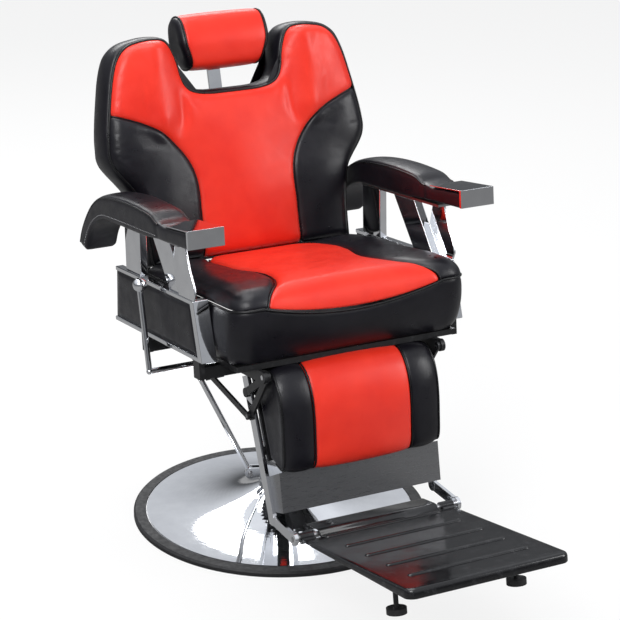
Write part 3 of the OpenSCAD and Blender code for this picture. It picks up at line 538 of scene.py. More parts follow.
def bevelled(node, width, material, segments=3, sharp=28):
    """A CAD node's own shape with its sharp edges rounded, in place of the node."""
    source = frame["nodes"][node]
    mesh = source.data.copy()
    mesh.name = node + "_round"
    work = bmesh.new()
    work.from_mesh(mesh)
    bmesh.ops.remove_doubles(work, verts=work.verts, dist=SAME_PLACE)
    bmesh.ops.dissolve_limit(work, angle_limit=FLAT_TURN, verts=work.verts, edges=work.edges)
    work.to_mesh(mesh)
    work.free()
    piece = finished(node + "_round", mesh, material, body_of(node), (node,), shade=False)
    rounding = piece.modifiers.new("rounding", "BEVEL")
    rounding.width = width * MM
    rounding.segments = segments
    rounding.limit_method = "ANGLE"
    rounding.angle_limit = math.radians(sharp)
    rounding.harden_normals = True
    mesh.shade_smooth()
    normals = piece.modifiers.new("normals", "WEIGHTED_NORMAL")
    normals.keep_sharp = True


# CAD nodes that keep their shape and get a finish

NODE_FINISH = [
    (CHROME, ["base_dome", "pump_cylinder", "pump_lever", "piston", "recline_lever", "lever_knob",
              "frame_pins", "headrest_bar"]),
    (STEEL, ["base_plate", "base_bolts", "pump_lever_pin", "mount_bolts", "arm_rail_left", "arm_rail_right",
             "recline_lock", "back_pins", "leg_pins"]),
    (SATIN_BLACK, ["swivel_hub", "seat_frame", "seat_board", "headrest_guide", "calf_board", "leg_frame",
                   "recline_rod_left", "recline_rod_right", "back_bracket_left", "back_bracket_right"]),
    (RUBBER, ["base_ring", "cylinder_collar", "pump_lever_grip", "foot_glides"]),
]
for material, nodes in NODE_FINISH:
    for node in nodes:
        mesh = frame["nodes"][node].data
        mesh.materials.clear()
        mesh.materials.append(material)

ROUNDED_EDGES = {
    "side_trim_": 1.6, "arm_rear_post_": 2.2, "arm_front_post_": 1.6, "arm_cap_": 0.7, "leg_bar_": 1.5,
}

for _, word in SIDES:
    for start, width in ROUNDED_EDGES.items():
        bevelled(start + word, width, CHROME)
bevelled("toe_plate", 1.0, SATIN)


# Seat cushion, in the tilted seat plane

SEAT_HALF = 264
SEAT_REAR = 104
SEAT_FRONT = -360
SEAT_ROUND = 46
SEAT_SIDE_SEAM = 130
SEAT_LOW = 13
SEAT_UNDERSIDE = 26
TOP_LINE = [(-370, 169), (-314, 169), (-260, 168), (-187, 163), (-104, 160), (-27, 158), (62, 150),
            (110, 143)]
SEAM_LINE = [(-364, 200), (-330, 172), (-300, 150), (-262, 132), (-225, 122), (-187, 117), (-150, 121),
             (-118, 130), (-80, 140), (-27, 143), (20, 141), (62, 133), (86, 118), (110, 112)]
FRONT_SEAM_LOW = 103
FRONT_SEAM_RISE = 29
FRONT_SEAM_REACH = 205
CROWN_RISE = 7
CROWN_HALF = 150
CROWN_MIDDLE = -200
CROWN_LENGTH = 150
SEW_DEPTH = 5.5
SEW_WIDTH = 5.5
HOLLOW_DEPTH = 3
HOLLOW_WIDTH = 14
BOLSTER_RISE = 5
BOLSTER_MIDDLE = 205
BOLSTER_WIDTH = 45
BOLSTER_START = -250
BOLSTER_END = -340
SIDE_TUCK = 24
FRONT_TUCK = 26
TUCK_START = 300
ROW_COUNT = 44
RED_COLUMNS = 33
BOLSTER_COLUMNS = 8
TURN_COUNT = 10


def along_line(line, along):
    return float(np.interp(along, *zip(*line)))


def front_seam(x):
    """Height of the piping along the front edge, lowest in the middle."""
    return FRONT_SEAM_LOW + FRONT_SEAM_RISE * min((x / FRONT_SEAM_REACH) ** 2, 1.0)


def seat_top(x, along):
    """Height of the cushion's top with its crown and bolsters, and how deep the sewn grooves cut in."""
    seam = along_line(SEAM_LINE, along)
    crown = CROWN_RISE * max(1 - (x / CROWN_HALF) ** 2, 0) * bump(along, CROWN_MIDDLE, CROWN_LENGTH)
    groove = SEW_DEPTH * bump(abs(x), seam, SEW_WIDTH) + HOLLOW_DEPTH * bump(abs(x), seam, HOLLOW_WIDTH)
    bolster = BOLSTER_RISE * bump(abs(x), BOLSTER_MIDDLE, BOLSTER_WIDTH)
    bolster *= smooth(along, BOLSTER_END, BOLSTER_START)
    return along_line(TOP_LINE, along) + crown + bolster, groove


def seat_point(x, along, sink=0.0):
    """A point of the cushion's top for a plan position before the corners are rounded."""
    across = max(abs(x) - (SEAT_HALF - SEAT_ROUND), 0) / SEAT_ROUND
    ahead = max((SEAT_FRONT + SEAT_ROUND) - along, 0) / SEAT_ROUND
    across_round = across * math.sqrt(1 - ahead ** 2 / 2)
    ahead_round = ahead * math.sqrt(1 - across ** 2 / 2)
    reach = min(math.hypot(across_round, ahead_round), 1.0)
    drop = 1 - math.sqrt(max(1 - reach ** 2, 0.0))
    share = across ** 2 / max(across ** 2 + ahead ** 2, SAME_PLACE ** 2)
    rim = SEAT_SIDE_SEAM * share + front_seam(x) * (1 - share)
    top, groove = seat_top(x, along)
    top -= groove * (1 - drop)
    up = top - drop * (top - rim)
    real_x = x
    if across > 0:
        real_x = math.copysign(SEAT_HALF - SEAT_ROUND + SEAT_ROUND * across_round, x)
    real_along = along
    if ahead > 0:
        real_along = SEAT_FRONT + SEAT_ROUND - SEAT_ROUND * ahead_round
    return on_seat(real_x, real_along, up - sink)


def eased(count, low, high, round_end):
    """Even steps along a stretch, drawn closer where the surface rounds over at its end."""
    step = math.copysign(round_end, high - low)
    plain = np.linspace(low, high - step, count)
    turn = np.sin(np.linspace(0, math.pi / 2, TURN_COUNT))[1:]
    return np.concatenate([plain, plain[-1] + step * turn])


def red_columns(along):
    seam = along_line(SEAM_LINE, along)
    return np.linspace(-seam, seam, RED_COLUMNS)


def bolster_columns(side):
    def columns(along):
        start = along_line(SEAM_LINE, along)
        spread = eased(BOLSTER_COLUMNS, start, SEAT_HALF, min(SEAT_ROUND, SEAT_HALF - start - 2))
        return side * spread[::side]
    return columns


def tucked_point(x, along):
    """A point of a cover's underside, drawn in from the rim so that the apron meets the piping."""
    inward = SIDE_TUCK * smooth(abs(x), BOLSTER_MIDDLE, SEAT_HALF)
    backward = FRONT_TUCK * smooth(-along, TUCK_START, -SEAT_FRONT)
    return seat_point(x - math.copysign(inward, x), along + backward, SEAT_UNDERSIDE)


def seat_panel(name, columns, material, node):
    plan = []
    for along in eased(ROW_COUNT, SEAT_REAR, SEAT_FRONT, SEAT_ROUND):
        plan.append([(float(x), float(along)) for x in columns(along)])
    top = [[seat_point(x, along) for x, along in row] for row in plan]
    low = [[tucked_point(x, along) for x, along in row] for row in plan]
    cushioned(name, closed_grid(top, low), material, "chair", node)


SEAM_STEPS = 60
SEAM_RADIUS = 1.7
SEAM_SUNK = -0.5

seat_panel("seat_red_cover", red_columns, RED, "seat_centre")
for side, word in SIDES:
    columns = bolster_columns(side)
    seat_panel("seat_bolster_cover_" + word, columns, BLACK, "seat_bolster_" + word)
    seam = [seat_point(side * along_line(SEAM_LINE, along), along, SEAM_SUNK)
            for along in eased(SEAM_STEPS, SEAT_REAR, SEAT_FRONT, SEAT_ROUND)]
    tube("seat_piping_" + word, seam, SEAM_RADIUS, TRIM, "chair")

RIM_SPACING = 7.0
RIM_RADIUS = 2.6
RIM_STEPS = 90


def seat_rim():
    """The piping line round the cushion from the rear left, past the front, to the rear right."""
    side_steps = eased(SEAM_STEPS, SEAT_REAR, SEAT_FRONT, SEAT_ROUND)
    line = [seat_point(-SEAT_HALF, along) for along in side_steps[:-1]]
    line += [seat_point(x, SEAT_FRONT) for x in np.linspace(-SEAT_HALF, SEAT_HALF, RIM_STEPS)]
    line += [seat_point(SEAT_HALF, along) for along in side_steps[::-1][1:]]
    return respaced(np.array(line), RIM_SPACING * MM, False)


rim_line = seat_rim()
tube("seat_rim_piping", rim_line, RIM_RADIUS, TRIM, "chair")

APRON_LEVEL_SHARES = (0.0, 0.03, 0.09, 0.2, 0.35, 0.5, 0.65, 0.8, 0.9, 0.96, 1.0)
APRON_MIDDLE = -120
APRON_WALL_SHARE = 0.06
APRON_SWELL = 5.5
APRON_PINCH = 3.0
APRON_HEM = 9
APRON_TUCK = 34
APRON_TURN_START = 260
APRON_TURN_END = 355


def off_seat(x, y, z):
    """The seat-plane place of a point in metres: across, along and up in millimetres."""
    ahead, height = y / MM, z / MM - SEAT_HEIGHT
    along = ahead * math.cos(SEAT_TILT) - height * math.sin(SEAT_TILT)
    return x / MM, along, ahead * math.sin(SEAT_TILT) + height * math.cos(SEAT_TILT)


def seat_apron():
    """The black band round the cushion under the piping, closed at the rear and below."""
    outer = []
    for share in APRON_LEVEL_SHARES:
        swell = APRON_SWELL * math.sin(math.pi * min(share * 1.08, 1.0)) - APRON_PINCH * bump(share, 0, 0.04)
        swell -= APRON_HEM * smooth(share, 0.86, 1.0)
        row = []
        for point in rim_line:
            x, along, up = off_seat(*point)
            ahead = smooth(-along, APRON_TURN_START, APRON_TURN_END)
            outward = math.copysign(1, x) * (1 - ahead) + x / APRON_TURN_START * ahead
            away = Vector((outward, -ahead, 0)).normalized()
            tuck = APRON_TUCK * ahead * share ** 1.3
            lowered = up + (SEAT_LOW - up) * share
            row.append(on_seat(x + away.x * swell, along + away.y * swell + tuck, lowered))
        outer.append(row)
    middle = np.array(on_seat(0, APRON_MIDDLE, 0)) * APRON_WALL_SHARE
    inner = [[tuple(middle + np.array(p) * (1 - APRON_WALL_SHARE)) for p in row] for row in outer]
    cushioned("seat_apron", closed_grid(outer, inner), BLACK, "chair", "seat_body")


seat_apron()


# Backrest

BACK_HALF = [(243, 4), (245, 60), (250, 112), (260, 160), (275, 184), (293, 207), (306, 226), (312, 244),
             (312, 262), (310, 293), (304, 332), (296, 373), (287, 414), (276, 447), (264, 468), (242, 484),
             (214, 491), (182, 494), (150, 490), (134, 478), (124, 456), (118, 431), (114, 408), (106, 388),
             (92, 375), (60, 368), (20, 367)]
FRONT_HALF = [(238, 6), (240, 60), (245, 112), (255, 162), (270, 187), (288, 210), (300, 229), (305, 247),
              (305, 262), (302, 292), (295, 332), (287, 372), (278, 410), (267, 442), (252, 465), (232, 479),
              (206, 485), (178, 487), (154, 484), (140, 471), (131, 450), (125, 428), (121, 404), (112, 381),
              (95, 367), (62, 360), (20, 359)]
WING_SEAM = [(118, 6), (116, 60), (116, 110), (115, 150), (118, 185), (128, 216), (146, 246), (176, 280),
             (208, 302), (250, 321), (294, 337)]

front_right = catmull(FRONT_HALF, 6, False)
front_outline = np.array(list(front_right) + mirrored(front_right))
seam_right = catmull(WING_SEAM, 8, False)

BACK_RISE = 10.0
ROUND_CROWNS = [(15, 0, 120, 150, 125), (15, 200, 62, 120, 120), (8, 262, 40, 255, 60)]
SHOULDER_RIDGES = [(15, 178, 30), (5, 235, 40)]
NECK_HOLLOW = (4, 128, 18, 320, 60)
SHOULDER_START = 250
SHOULDER_SPAN = 70
EDGE_ROLL = 20
EDGE_DROP = 1.5
SEAM_REACH = 13
SEAM_DEPTH = 6.5
FOOT_REACH = 26
FOOT_DROP = 10
PANEL_SPACING = 8.0
PANEL_THICKNESS = 20.0
BACK_SWELL = 5.0


def swelling(place, middle, width):
    return np.exp(-((place - middle) / width) ** 2)


def back_front(flat, thickness):
    """Real points of the backrest's front face, with its crowns, ridges and seams."""
    x, up = np.abs(flat[:, 0]), flat[:, 1]
    edge = distance_to(flat, front_outline, True)
    sewn = distance_to(np.stack([x, up], axis=1), seam_right, False)
    above = np.clip((up - SHOULDER_START) / SHOULDER_SPAN, 0, 1)
    above = above * above * (3 - 2 * above)
    rise = np.full(len(flat), BACK_RISE)
    for height, middle, half, level, reach in ROUND_CROWNS:
        rise += height * swelling(x, middle, half) * swelling(up, level, reach)
    for height, middle, half in SHOULDER_RIDGES:
        rise += height * swelling(x, middle, half) * above
    depth, middle, half, level, reach = NECK_HOLLOW
    rise -= depth * swelling(x, middle, half) * above * swelling(up, level, reach)
    roll = np.clip(1 - edge / EDGE_ROLL, 0, 1) ** 2.2
    rise = rise * (1 - roll) - EDGE_DROP * roll
    rise -= SEAM_DEPTH * np.clip(1 - sewn / SEAM_REACH, 0, 1) ** 2
    rise -= FOOT_DROP * np.clip(1 - up / FOOT_REACH, 0, 1) ** 2
    return [on_back(px, pu, pw) for px, pu, pw in zip(flat[:, 0], up, thickness - rise)]


def back_panel_piece(name, outline, material, node):
    """One sewn panel of the backrest's front, swollen as cloth and held along its seams."""
    shape = panel(outline, PANEL_SPACING, back_front, PANEL_THICKNESS)
    piece = cushioned(name, shape, material, "backrest", node)
    edge = np.array([on_back(x, up, 0) for x, up in respaced(np.array(outline), PANEL_SPACING / 2, True)])

    def pinned(point):
        gap = np.linalg.norm(edge[:, [0, 2]] - np.array(point)[[0, 2]], axis=1).min()
        return 1.0 - smooth(gap, 4 * MM, 22 * MM)

    inflate(piece.data, pinned, BACK_SWELL * MM)


seam_list = [tuple(p) for p in seam_right]
outer_start = next(i for i, p in enumerate(front_right) if p[1] > WING_SEAM[-1][1])
red_right = seam_list[:-1] + [tuple(p) for p in front_right[outer_start:]]
back_panel_piece("back_red_cover", red_right + mirrored(red_right), RED, "back_centre")
wing_right = [tuple(p) for p in front_right[:outer_start]] + seam_list[::-1]
for side, word in SIDES:
    outline = wing_right if side > 0 else mirrored(wing_right)
    back_panel_piece("back_wing_cover_" + word, outline, BLACK, "back_wing_" + word)
    flat = np.array([(side * x, up) for x, up in seam_list])
    tube("back_seam_piping_" + word, back_front(flat, 1.0), 1.6, TRIM, "backrest")
edge_line = [on_back(x, up, 2.0) for x, up in respaced(front_outline, 6.0, True)]
tube("back_edge_piping", edge_line, 2.8, TRIM, "backrest", closed=True)

back_right = catmull(BACK_HALF, 6, False)
back_outline = np.array(list(back_right) + mirrored(back_right))

SHELL_LEVELS = [(4, 22), (3, 9), (5, 4.5), (10, 1.5), (20, -1), (34, -2.5), (50, -2.5), (64, -1), (72, 1.5),
                (77, 5), (79, 10)]
BOARD_LEVELS = [(78, 9), (79, 6.5), (84, 6.5), (88, 9), (90, 14), (90.3, 24)]
REAR_PIPING_INSET = 6.0
REAR_PIPING_DEPTH = 79
back_edge = respaced(back_outline, RIM_SPACING, True)


def back_rings(levels):
    """The backrest's outline at each depth, drawn in by the level's inset."""
    return [[on_back(x, up, depth) for x, up in inset(back_edge, inward)] for depth, inward in levels]


def back_shell():
    """The thick black side band of the backrest, with a soft swell."""
    shape = lofted(back_rings(SHELL_LEVELS))
    cushioned("back_shell", shape, BLACK, "backrest", "back_body")


def back_board():
    """The covered board that closes the backrest from behind."""
    shape = lofted(back_rings(BOARD_LEVELS))
    solid("back_board_cover", shape, BLACK, "backrest", ("back_panel",))
    ring = back_rings([(REAR_PIPING_DEPTH, REAR_PIPING_INSET)])[0]
    tube("back_rear_piping", ring, RIM_RADIUS, TRIM, "backrest", closed=True)


back_shell()
back_board()


# Headrest

HEAD_LOW = 413
HEAD_SEAM = 96
HEAD_PROFILE = [(18, 8), (48, 0), (78, 7), (89, 35), (90, 67), (85, 98), (68, 116), (42, 121), (18, 112),
                (4, 88), (-2, 56), (4, 26)]
WRAP_STEPS = [(0, 3.5), (3, 1.2), (9, 0.0), (20, -0.8), (56, -1.6), (HEAD_SEAM, -2.0)]
DISC_STEPS = [(-4, 6), (0, 3.4), (3, 3.6), (7, 7), (9.5, 14), (10.5, 24)]
FOOT_SHARE = 0.14
FOOT_LOW = 4
FOOT_HIGH = 66
head_loop = catmull(HEAD_PROFILE, 6, True)


def head_ring(x, inward):
    """A cross-section of the pillow; its ends draw in towards the bottom, clear of the notch."""
    ring = []
    for forward, up in inset(head_loop, inward):
        drawn = FOOT_SHARE * (1 - smooth(up, FOOT_LOW, FOOT_HIGH))
        ring.append(on_back(x * (1 - drawn), HEAD_LOW + up, forward))
    return ring


def headrest():
    """The pillow: a red wrap over its length and a black disc at each end."""
    rings = [head_ring(x, inward) for x, inward in from_both_ends(HEAD_SEAM, WRAP_STEPS)]
    cushioned("headrest_wrap", lofted(rings), RED, "headrest", "headrest_pad")
    for side, word in SIDES:
        rings = [head_ring(side * (HEAD_SEAM + step), inward) for step, inward in DISC_STEPS]
        solid("headrest_end_" + word, lofted(rings), BLACK, "headrest")
        ring = head_ring(side * (HEAD_SEAM + 0.6), 1.6)
        tube("headrest_piping_" + word, ring, 1.9, TRIM, "headrest", closed=True)


headrest()


# Calf pad

CALF_SEAM = 112
CALF_OUTER = CALF_SEAM + 68
CALF_REAR = -17.3
CALF_FLAT = [(CALF_REAR, 18), (CALF_REAR, -172), (-62, -203)]
CALF_CURVE = [(-62, -203), (-80, -201), (-95, -184), (-110, -145), (-123, -107), (-131, -71), (-132, -42),
              (-127, -18), (-115, 3), (-97, 16), (-72, 21), (-44, 20)]
CALF_RED_STEPS = [(0, 5), (3, 2.2), (9, 0.3), (24, -1.5), (62, -3), (CALF_SEAM, -3.6)]
CALF_SIDE_STEPS = [(0, 5), (3, 2.2), (9, 0.2), (24, -1.0), (40, 0.0), (52, 2.6), (60, 5.6), (65, 8.2),
                   (68, 10.6), (70, 14.0), (69, 20.0), (68, 30.0)]
CALF_PIPING = [(CALF_SEAM, 2.2, 1.7), (CALF_OUTER, 9.6, 2.2)]
HIDDEN_POINTS = 24


def calf_loop():
    """The pad's profile, counter-clockwise: its crowned front, then the flat rear against the board."""
    flat_part = respaced(np.array(CALF_FLAT), 9.0, False)[:-1]
    curved = respaced(catmull(CALF_CURVE, 8, False), 7.0, False)
    return np.vstack([flat_part, curved])[::-1]


calf_line = calf_loop()


def calf_ring(x, inward):
    loop = inset(calf_line, inward)
    loop[:, 0] = np.minimum(loop[:, 0], CALF_REAR)
    return [on_leg(x, along, up) for along, up in loop]


def calf_piece(name, stations, material, node):
    shape = lofted([calf_ring(x, inward) for x, inward in stations])
    cushioned(name, shape, material, "legrest", node)


calf_piece("calf_red_cover", from_both_ends(CALF_SEAM, CALF_RED_STEPS), RED, "calf_centre")
for side, word in SIDES:
    stations = [(side * (CALF_SEAM + step), inward) for step, inward in CALF_SIDE_STEPS]
    calf_piece("calf_black_cover_" + word, stations, BLACK, "calf_side_" + word)
    for place, sunk, radius in CALF_PIPING:
        ring = calf_ring(side * place, sunk)[:-HIDDEN_POINTS]
        tube("calf_piping_%s_%d" % (word, place), ring, radius, TRIM, "legrest")


# Armrest pads, in the tilted seat plane

ARM_HEIGHT = 255
ARM_INNER = 271
ARM_WIDTH = 74
ARM_MIDDLE = ARM_INNER + ARM_WIDTH / 2
# Along and up on the pad's lower line, then along and up on its upper line
ARM_STATIONS = [
    (-321.5, 11, -321.5, 43), (-318, 9.5, -318, 44), (-290, 9, -290, 42.8), (-240, 8.5, -240, 40.2),
    (-204, 7.5, -204, 38.4), (-190, 7.0, -190, 40), (-176, 6.5, -172, 41), (-160, 5.5, -158, 44),
    (-146, 4.5, -146, 50), (-128, 3, -130, 55.5), (-100, 1.2, -102, 59), (-50, 0.6, -50, 62),
    (0, 0.4, 0, 62.5), (40, 0.4, 42, 61), (80, 0.4, 92, 57), (118, 0.4, 142, 48), (150, -6, 184, 28),
    (180, -19, 214, 5), (206, -38, 240, -20), (224, -58, 262, -46), (235, -76, 274, -66),
    (241, -84, 277, -73), (247, -89, 274, -80),
]
WALL_SHARES = [(1, 0.12), (1, 0.3), (1.01, 0.5), (1.0, 0.68), (0.985, 0.8), (0.93, 0.9), (0.82, 0.965),
               (0.6, 0.995), (0.3, 1.015)]
BASE_SHARES = [(0.97, 0.04), (0.9, 0), (0.5, 0), (0, 0), (-0.5, 0), (-0.9, 0), (-0.97, 0.04)]
SECTION_SHARES = [(-across, up) for across, up in WALL_SHARES] + [(0, 1.02)] + WALL_SHARES[::-1] + BASE_SHARES
FRONT_PINCH = 3.0
TAIL_PINCH = 6.0
WAIST_PINCH = 1.2
WAIST_PLACE = -168
PIPED = slice(18, -3)
PIPED_SHARE = 0.88
PIPED_SUNK = 2.2
SEWN = slice(20, -4)
SEWN_SHARE = 0.2


def arm_point(side, across, low, high, share):
    """A point of a pad between its lower and upper line, across millimetres from its middle."""
    along, up = low + (high - low) * share
    return on_seat(side * (ARM_MIDDLE + across), along, ARM_HEIGHT + up)


def arm_pad(side, word):
    """The padded armrest: soft corners, a slight swell on top, a thin front and a drooping tail."""
    low_line = catmull([station[:2] for station in ARM_STATIONS], 3, False)
    high_line = catmull([station[2:] for station in ARM_STATIONS], 3, False)
    last = len(low_line) - 1
    rings = []
    for i, (low, high) in enumerate(zip(low_line, high_line)):
        pinch = FRONT_PINCH * bump(i, 0, 1.5) + TAIL_PINCH * bump(i, last, 2.5)
        half = ARM_WIDTH / 2 - pinch - WAIST_PINCH * bump(high[0], WAIST_PLACE, 9)
        rings.append([arm_point(side, across * half, low, high, share) for across, share in SECTION_SHARES])
    cushioned("arm_cushion_" + word, lofted(rings), BLACK, "chair", "arm_pad_" + word)

    def line_at(across, share, part):
        pairs = zip(low_line[part], high_line[part])
        return [arm_point(side, across, low, high, share) for low, high in pairs]

    for edge, edge_word in ((-1, "inner"), (1, "outer")):
        line = line_at(edge * (ARM_WIDTH / 2 - PIPED_SUNK), PIPED_SHARE, PIPED)
        tube("arm_piping_%s_%s" % (word, edge_word), line, 1.8, TRIM, "chair")
    stitches("arm_stitches_" + word, line_at(ARM_WIDTH / 2, SEWN_SHARE, SEWN), (side, 0, 0), "chair")


for side, word in SIDES:
    arm_pad(side, word)


# Footplate: a pressed plate with a turned-down lip, raised ribs and two hinge knuckles

FOOT_PIVOT = (-444.67, 168.54)
FOOT_SLOPE = math.radians(11.6)
PLATE_HALF = 178
PLATE_FRONT = -445
PLATE_REAR = -12
PLATE_TOP = -1
FRONT_CORNER = 20
REAR_CORNER = 7
CORNER_STEPS = 8
REAR_LIP = 5
FRONT_LIP = 20
LIP_START = 20
LIP_END = 60
PLATE_LEVELS = [(4.5, 30), (REAR_LIP, 8.0), (19.0, 5.0), (FRONT_LIP, 3.5), (FRONT_LIP, 1.2), (19.0, 0.2),
                (16.0, 0.0), (8.0, 0.0), (REAR_LIP, 0.7), (2.6, 2.2), (1.0, 4.4), (0.2, 7.2), (0.0, 11.0),
                (0.0, 30.0)]
RIB_COUNT = 5
RIB_FIRST = -28.5
RIB_SPACING = 84
RIB_HALF = 134
RIB_WIDTH = 13
RIB_RISE = 4.0
RIB_END = 7
KNUCKLE_INNER = 148
KNUCKLE_STEPS = (KNUCKLE_INNER, KNUCKLE_INNER + 2, 163, PLATE_HALF - 2, PLATE_HALF)
KNUCKLE_RADIUS = 10
HINGE_LEVELS = [(-30, -6, -1.2), (-20, -6, -1.0), (-8, -8, 2), (-2, -9, 5)]
SLEEVE_HALF = 136
SLEEVE_LEVELS = [(-24, -5, -1.6), (-18, -5, -0.6), (-12, -5, 5), (-6, 7.5, 10.5), (0, 8.5, 11.5),
                 (8, 8.5, 11.5), (42, 8.5, 11.5), (48, 8.5, 11)]


def on_footplate(x, along, up):
    return tilted((x, along, up), FOOT_PIVOT, FOOT_SLOPE)


def rounded_plate(inward):
    """Outline of the plate, counter-clockwise, with wide front corners and tight rear ones."""
    corners = [(1, PLATE_FRONT, FRONT_CORNER, -90), (1, PLATE_REAR, REAR_CORNER, 0),
               (-1, PLATE_REAR, REAR_CORNER, 90), (-1, PLATE_FRONT, FRONT_CORNER, 180)]
    line = []
    for side, end, radius, start in corners:
        round_here = max(radius - inward, 1.0)
        step = inward + round_here
        middle_x = side * (PLATE_HALF - step)
        middle_y = end + step if end == PLATE_FRONT else end - step
        for turn in range(CORNER_STEPS + 1):
            angle = math.radians(start + 90 * turn / CORNER_STEPS)
            line.append((middle_x + round_here * math.cos(angle), middle_y + round_here * math.sin(angle)))
    return line


def plate_ring(drop, inward):
    """A level of the plate; the lip is deep at the front and the sides and shallow at the rear."""
    ring = []
    for x, along in rounded_plate(inward):
        deepest = REAR_LIP + (FRONT_LIP - REAR_LIP) * smooth(-along, LIP_START, LIP_END)
        ring.append(on_footplate(x, along, PLATE_TOP - min(drop, deepest)))
    return ring


def rib_ring(x, middle):
    """A cross-section of a rib: a low arch, smaller towards the rib's round ends."""
    past = max(abs(x) - (RIB_HALF - RIB_END), 0) / RIB_END
    size = math.sqrt(max(1 - past ** 2, 0.02))
    half = RIB_WIDTH / 2 * size
    arch = [on_footplate(x, middle + half * math.cos(t), PLATE_TOP - 0.6 + RIB_RISE * size * math.sin(t))
            for t in np.linspace(0, math.pi, 11)]
    return arch + [on_footplate(x, middle + half * share, PLATE_TOP - 2.5) for share in (-0.9, 0.0, 0.9)]


def foot_ribs():
    """Raised ribs with rounded ends, all in one mesh."""
    points, faces = [], []
    for rib in range(RIB_COUNT):
        middle = RIB_FIRST - RIB_SPACING * rib
        steps = [RIB_HALF * math.sin(share * math.pi / 2) for share in np.linspace(-1, 1, 33)]
        new_points, new_faces = lofted([rib_ring(x, middle) for x in steps])
        faces += [tuple(i + len(points) for i in face) for face in new_faces]
        points += new_points
    solid("footplate_ribs", (points, faces), GLOSS_BLACK, "footrest")


def footplate():
    """The plate with its lip, and at each side a knuckle on the hinge rod and the strap that carries it."""
    shape = lofted([plate_ring(drop, inward) for drop, inward in PLATE_LEVELS])
    solid("footplate_cover", shape, GLOSS_BLACK, "footrest", ("footplate",))
    inner, outer = KNUCKLE_INNER + 1, PLATE_HALF - 1
    for side, word in SIDES:
        line = [on_footplate(side * x, 0, 0) for x in KNUCKLE_STEPS]
        tube("footplate_knuckle_" + word, line, KNUCKLE_RADIUS, GLOSS_BLACK, "footrest")
        rings = []
        for along, low, high in HINGE_LEVELS:
            corners = ((inner, low), (outer, low), (outer, high), (inner, high))
            rings.append([on_footplate(side * x, along, up) for x, up in corners])
        solid("footplate_hinge_" + word, lofted(rings), GLOSS_BLACK, "footrest", shade=False)


def hinge_sleeve():
    """The rear of the plate, rolled over the hinge rod and carried back between the leg bars."""
    rings = []
    for along, low, high in SLEEVE_LEVELS:
        middle = (low + high) / 2
        corners = ((-SLEEVE_HALF, low), (0, low), (SLEEVE_HALF, low), (SLEEVE_HALF + 2, middle),
                   (SLEEVE_HALF, high), (0, high), (-SLEEVE_HALF, high), (-SLEEVE_HALF - 2, middle))
        rings.append([on_footplate(x, along, up) for x, up in corners])
    solid("footplate_sleeve", lofted(rings), GLOSS_BLACK, "footrest")


footplate()
foot_ribs()
hinge_sleeve()


# Side panels: a padded black face set in the bright trim

FACE_REAR = (194, 174)
FACE_FRONT = (-243, -217)
FACE_LOW = 24.2
FACE_HIGH = 129.8
FACE_BASE = 15
FACE_SPAN = 124
FACE_LENGTH = 430
FACE_ROWS = 8
FACE_STEPS = 26
FACE_OUTER = 300.2
FACE_INNER = 290
PUFF_RISE = 2.6
PUFF_REACH = 22


def side_panel(side, word):
    """The slightly padded face of a side frame, flat behind and puffed away from its edges."""
    rows, backs = [], []
    for share in np.arange(FACE_ROWS + 1) / FACE_ROWS:
        up = FACE_LOW + (FACE_HIGH - FACE_LOW) * share
        level = (up - FACE_BASE) / FACE_SPAN
        start = FACE_REAR[0] + (FACE_REAR[1] - FACE_REAR[0]) * level
        stop = FACE_FRONT[0] + (FACE_FRONT[1] - FACE_FRONT[0]) * level
        row, back = [], []
        for j in range(FACE_STEPS + 1):
            along = start + (stop - start) * j / FACE_STEPS
            edge = min(j, FACE_STEPS - j) / FACE_STEPS * FACE_LENGTH
            rim = min(edge, min(share, 1 - share) * (FACE_HIGH - FACE_LOW))
            puff = PUFF_RISE * (1 - max(1 - rim / PUFF_REACH, 0) ** 2)
            row.append(on_seat(side * (FACE_OUTER + puff), along, up))
            back.append(on_seat(side * FACE_INNER, along, up))
        rows.append(row)
        backs.append(back)
    solid("side_cover_" + word, closed_grid(rows, backs), BLACK, "chair", ("side_panel_" + word,))


for side, word in SIDES:
    side_panel(side, word)


# Stage, light and camera

FLOOR_REACH = 30
FLOOR_GLOW_SHARE = 0.82
MIRRORED_FLOOR = 0.18


def stage_material():
    """A pale floor: bright to the camera, dim in mirrors, and still taking the shadow."""
    shader = Shader("studio_floor")
    shader.set(Base_Color=colour(0.86, 0.86, 0.86), Roughness=0.9, Specular_IOR_Level=0.1)
    path = shader.add("LightPath").outputs
    seen = shader.combined("MAXIMUM", path["Is Camera Ray"], path["Is Glossy Ray"])
    share = shader.combined("MULTIPLY", seen, FLOOR_GLOW_SHARE)
    level = shader.combined("MULTIPLY_ADD", path["Is Camera Ray"], 1 - MIRRORED_FLOOR, MIRRORED_FLOOR)
    glow = shader.add("Emission", Color=colour(1, 1, 1), Strength=level)
    surface = shader.blended(share, shader.surface.outputs[0], glow.outputs[0])
    shader.feed(shader.tree.nodes["Material Output"], "Surface", surface)
    return shader.material


floor_corners = [(x * FLOOR_REACH, y * FLOOR_REACH, 0) for x, y in ((-1, -1), (1, -1), (1, 1), (-1, 1))]
floor_mesh = mesh_from("floor", floor_corners, [(0, 1, 2, 3)])
floor = placed("floor", floor_mesh)
floor_mesh.materials.append(stage_material())


def area_light(name, place, aim, size, power):
    """A soft rectangular lamp; places and sizes in metres, power in watts."""
    light = bpy.data.lights.new(name, "AREA")
    light.shape = "RECTANGLE"
    light.size, light.size_y = size
    light.energy = power
    lamp = placed(name, light)
    lamp.location = place
    lamp.rotation_euler = (Vector(aim) - Vector(place)).to_track_quat("-Z", "Y").to_euler()


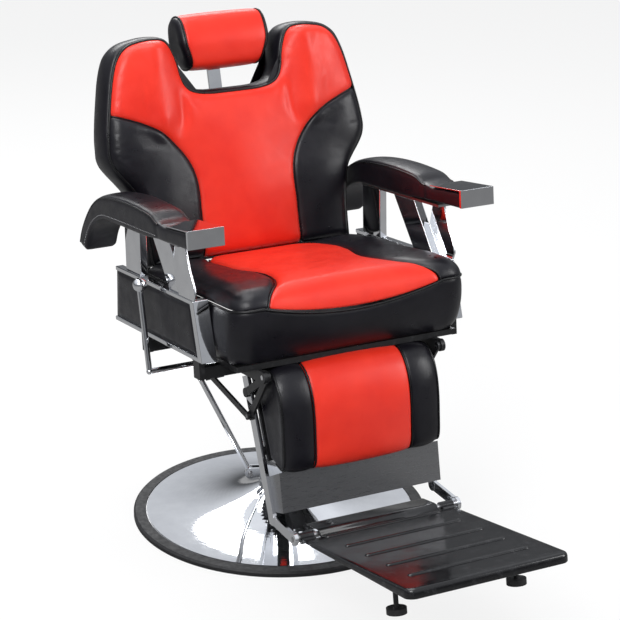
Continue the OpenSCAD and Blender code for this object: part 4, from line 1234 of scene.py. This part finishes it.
area_light("key", place=(-2.6, -2.4, 3.4), aim=(0, 0, 0.6), size=(1.8, 1.8), power=101)
area_light("fill", place=(3.2, -2.6, 2.4), aim=(0, 0, 0.6), size=(1.6, 2.2), power=70)
area_light("rim", place=(0.5, 3.0, 2.6), aim=(0, 0, 0.7), size=(2.4, 1.2), power=50)
area_light("top", place=(-0.6, 0.6, 4.2), aim=(0, 0, 0.4), size=(3.2, 2.6), power=95)


def mirrored_sky(nodes, path, soft):
    """Glossy surfaces mirror a dark horizon under a bright ceiling; all else is lit evenly."""
    direction = nodes.add("TexCoord").outputs["Generated"]
    height = nodes.add("SeparateXYZ", Vector=direction).outputs["Z"]
    level = nodes.ranged(height, low=0.11, high=0.9, start=0.05, stop=0.6)
    sky = nodes.add("Background", Color=colour(0.92, 0.95, 1.0), Strength=level)
    return nodes.blended(path["Is Glossy Ray"], soft.outputs[0], sky.outputs[0])


def studio_world():
    """White behind the chair for the camera, and a soft light for its surfaces."""
    world = bpy.data.worlds.new("studio")
    bpy.context.scene.world = world
    world.use_nodes = True
    nodes = Nodes(world.node_tree)
    soft = nodes.tree.nodes["Background"]
    nodes.feed(soft, "Color", colour(0.85, 0.87, 0.9))
    nodes.feed(soft, "Strength", 0.42)
    white = nodes.add("Background", Color=colour(1, 1, 1), Strength=1.0)
    path = nodes.add("LightPath").outputs
    seen = nodes.combined("MAXIMUM", path["Is Camera Ray"], path["Is Transmission Ray"])
    surface = nodes.blended(seen, mirrored_sky(nodes, path, soft), white.outputs[0])
    nodes.feed(nodes.tree.nodes["World Output"], "Surface", surface)


studio_world()
bpy.context.scene.view_settings.view_transform = "Standard"

CAMERA_PLACE = (-1.95944, -3.90145, 2.11251)
CAMERA_TURN = (-27.5102, 20.5136, 0.60717)
CAMERA_LENS = 125.07
CAMERA_SENSOR = 36.0


def photo_camera():
    """The camera where the photograph was taken, solved from the base and the symmetric points."""
    azimuth, pitch, roll = (math.radians(angle) for angle in CAMERA_TURN)
    level = math.cos(pitch)
    back = Vector((math.sin(azimuth) * level, -math.cos(azimuth) * level, math.sin(pitch)))
    right = Vector((0, 0, 1)).cross(back).normalized()
    up = back.cross(right)
    turned_right = math.cos(roll) * right + math.sin(roll) * up
    turned_up = -math.sin(roll) * right + math.cos(roll) * up
    data = bpy.data.cameras.new("photo_camera")
    data.sensor_fit = "HORIZONTAL"
    data.sensor_width = CAMERA_SENSOR
    data.lens = CAMERA_LENS
    camera = placed("photo_camera", data)
    turn = Matrix((turned_right, turned_up, back)).transposed().to_4x4()
    camera.matrix_world = Matrix.Translation(CAMERA_PLACE) @ turn
    bpy.context.scene.camera = camera


photo_camera()
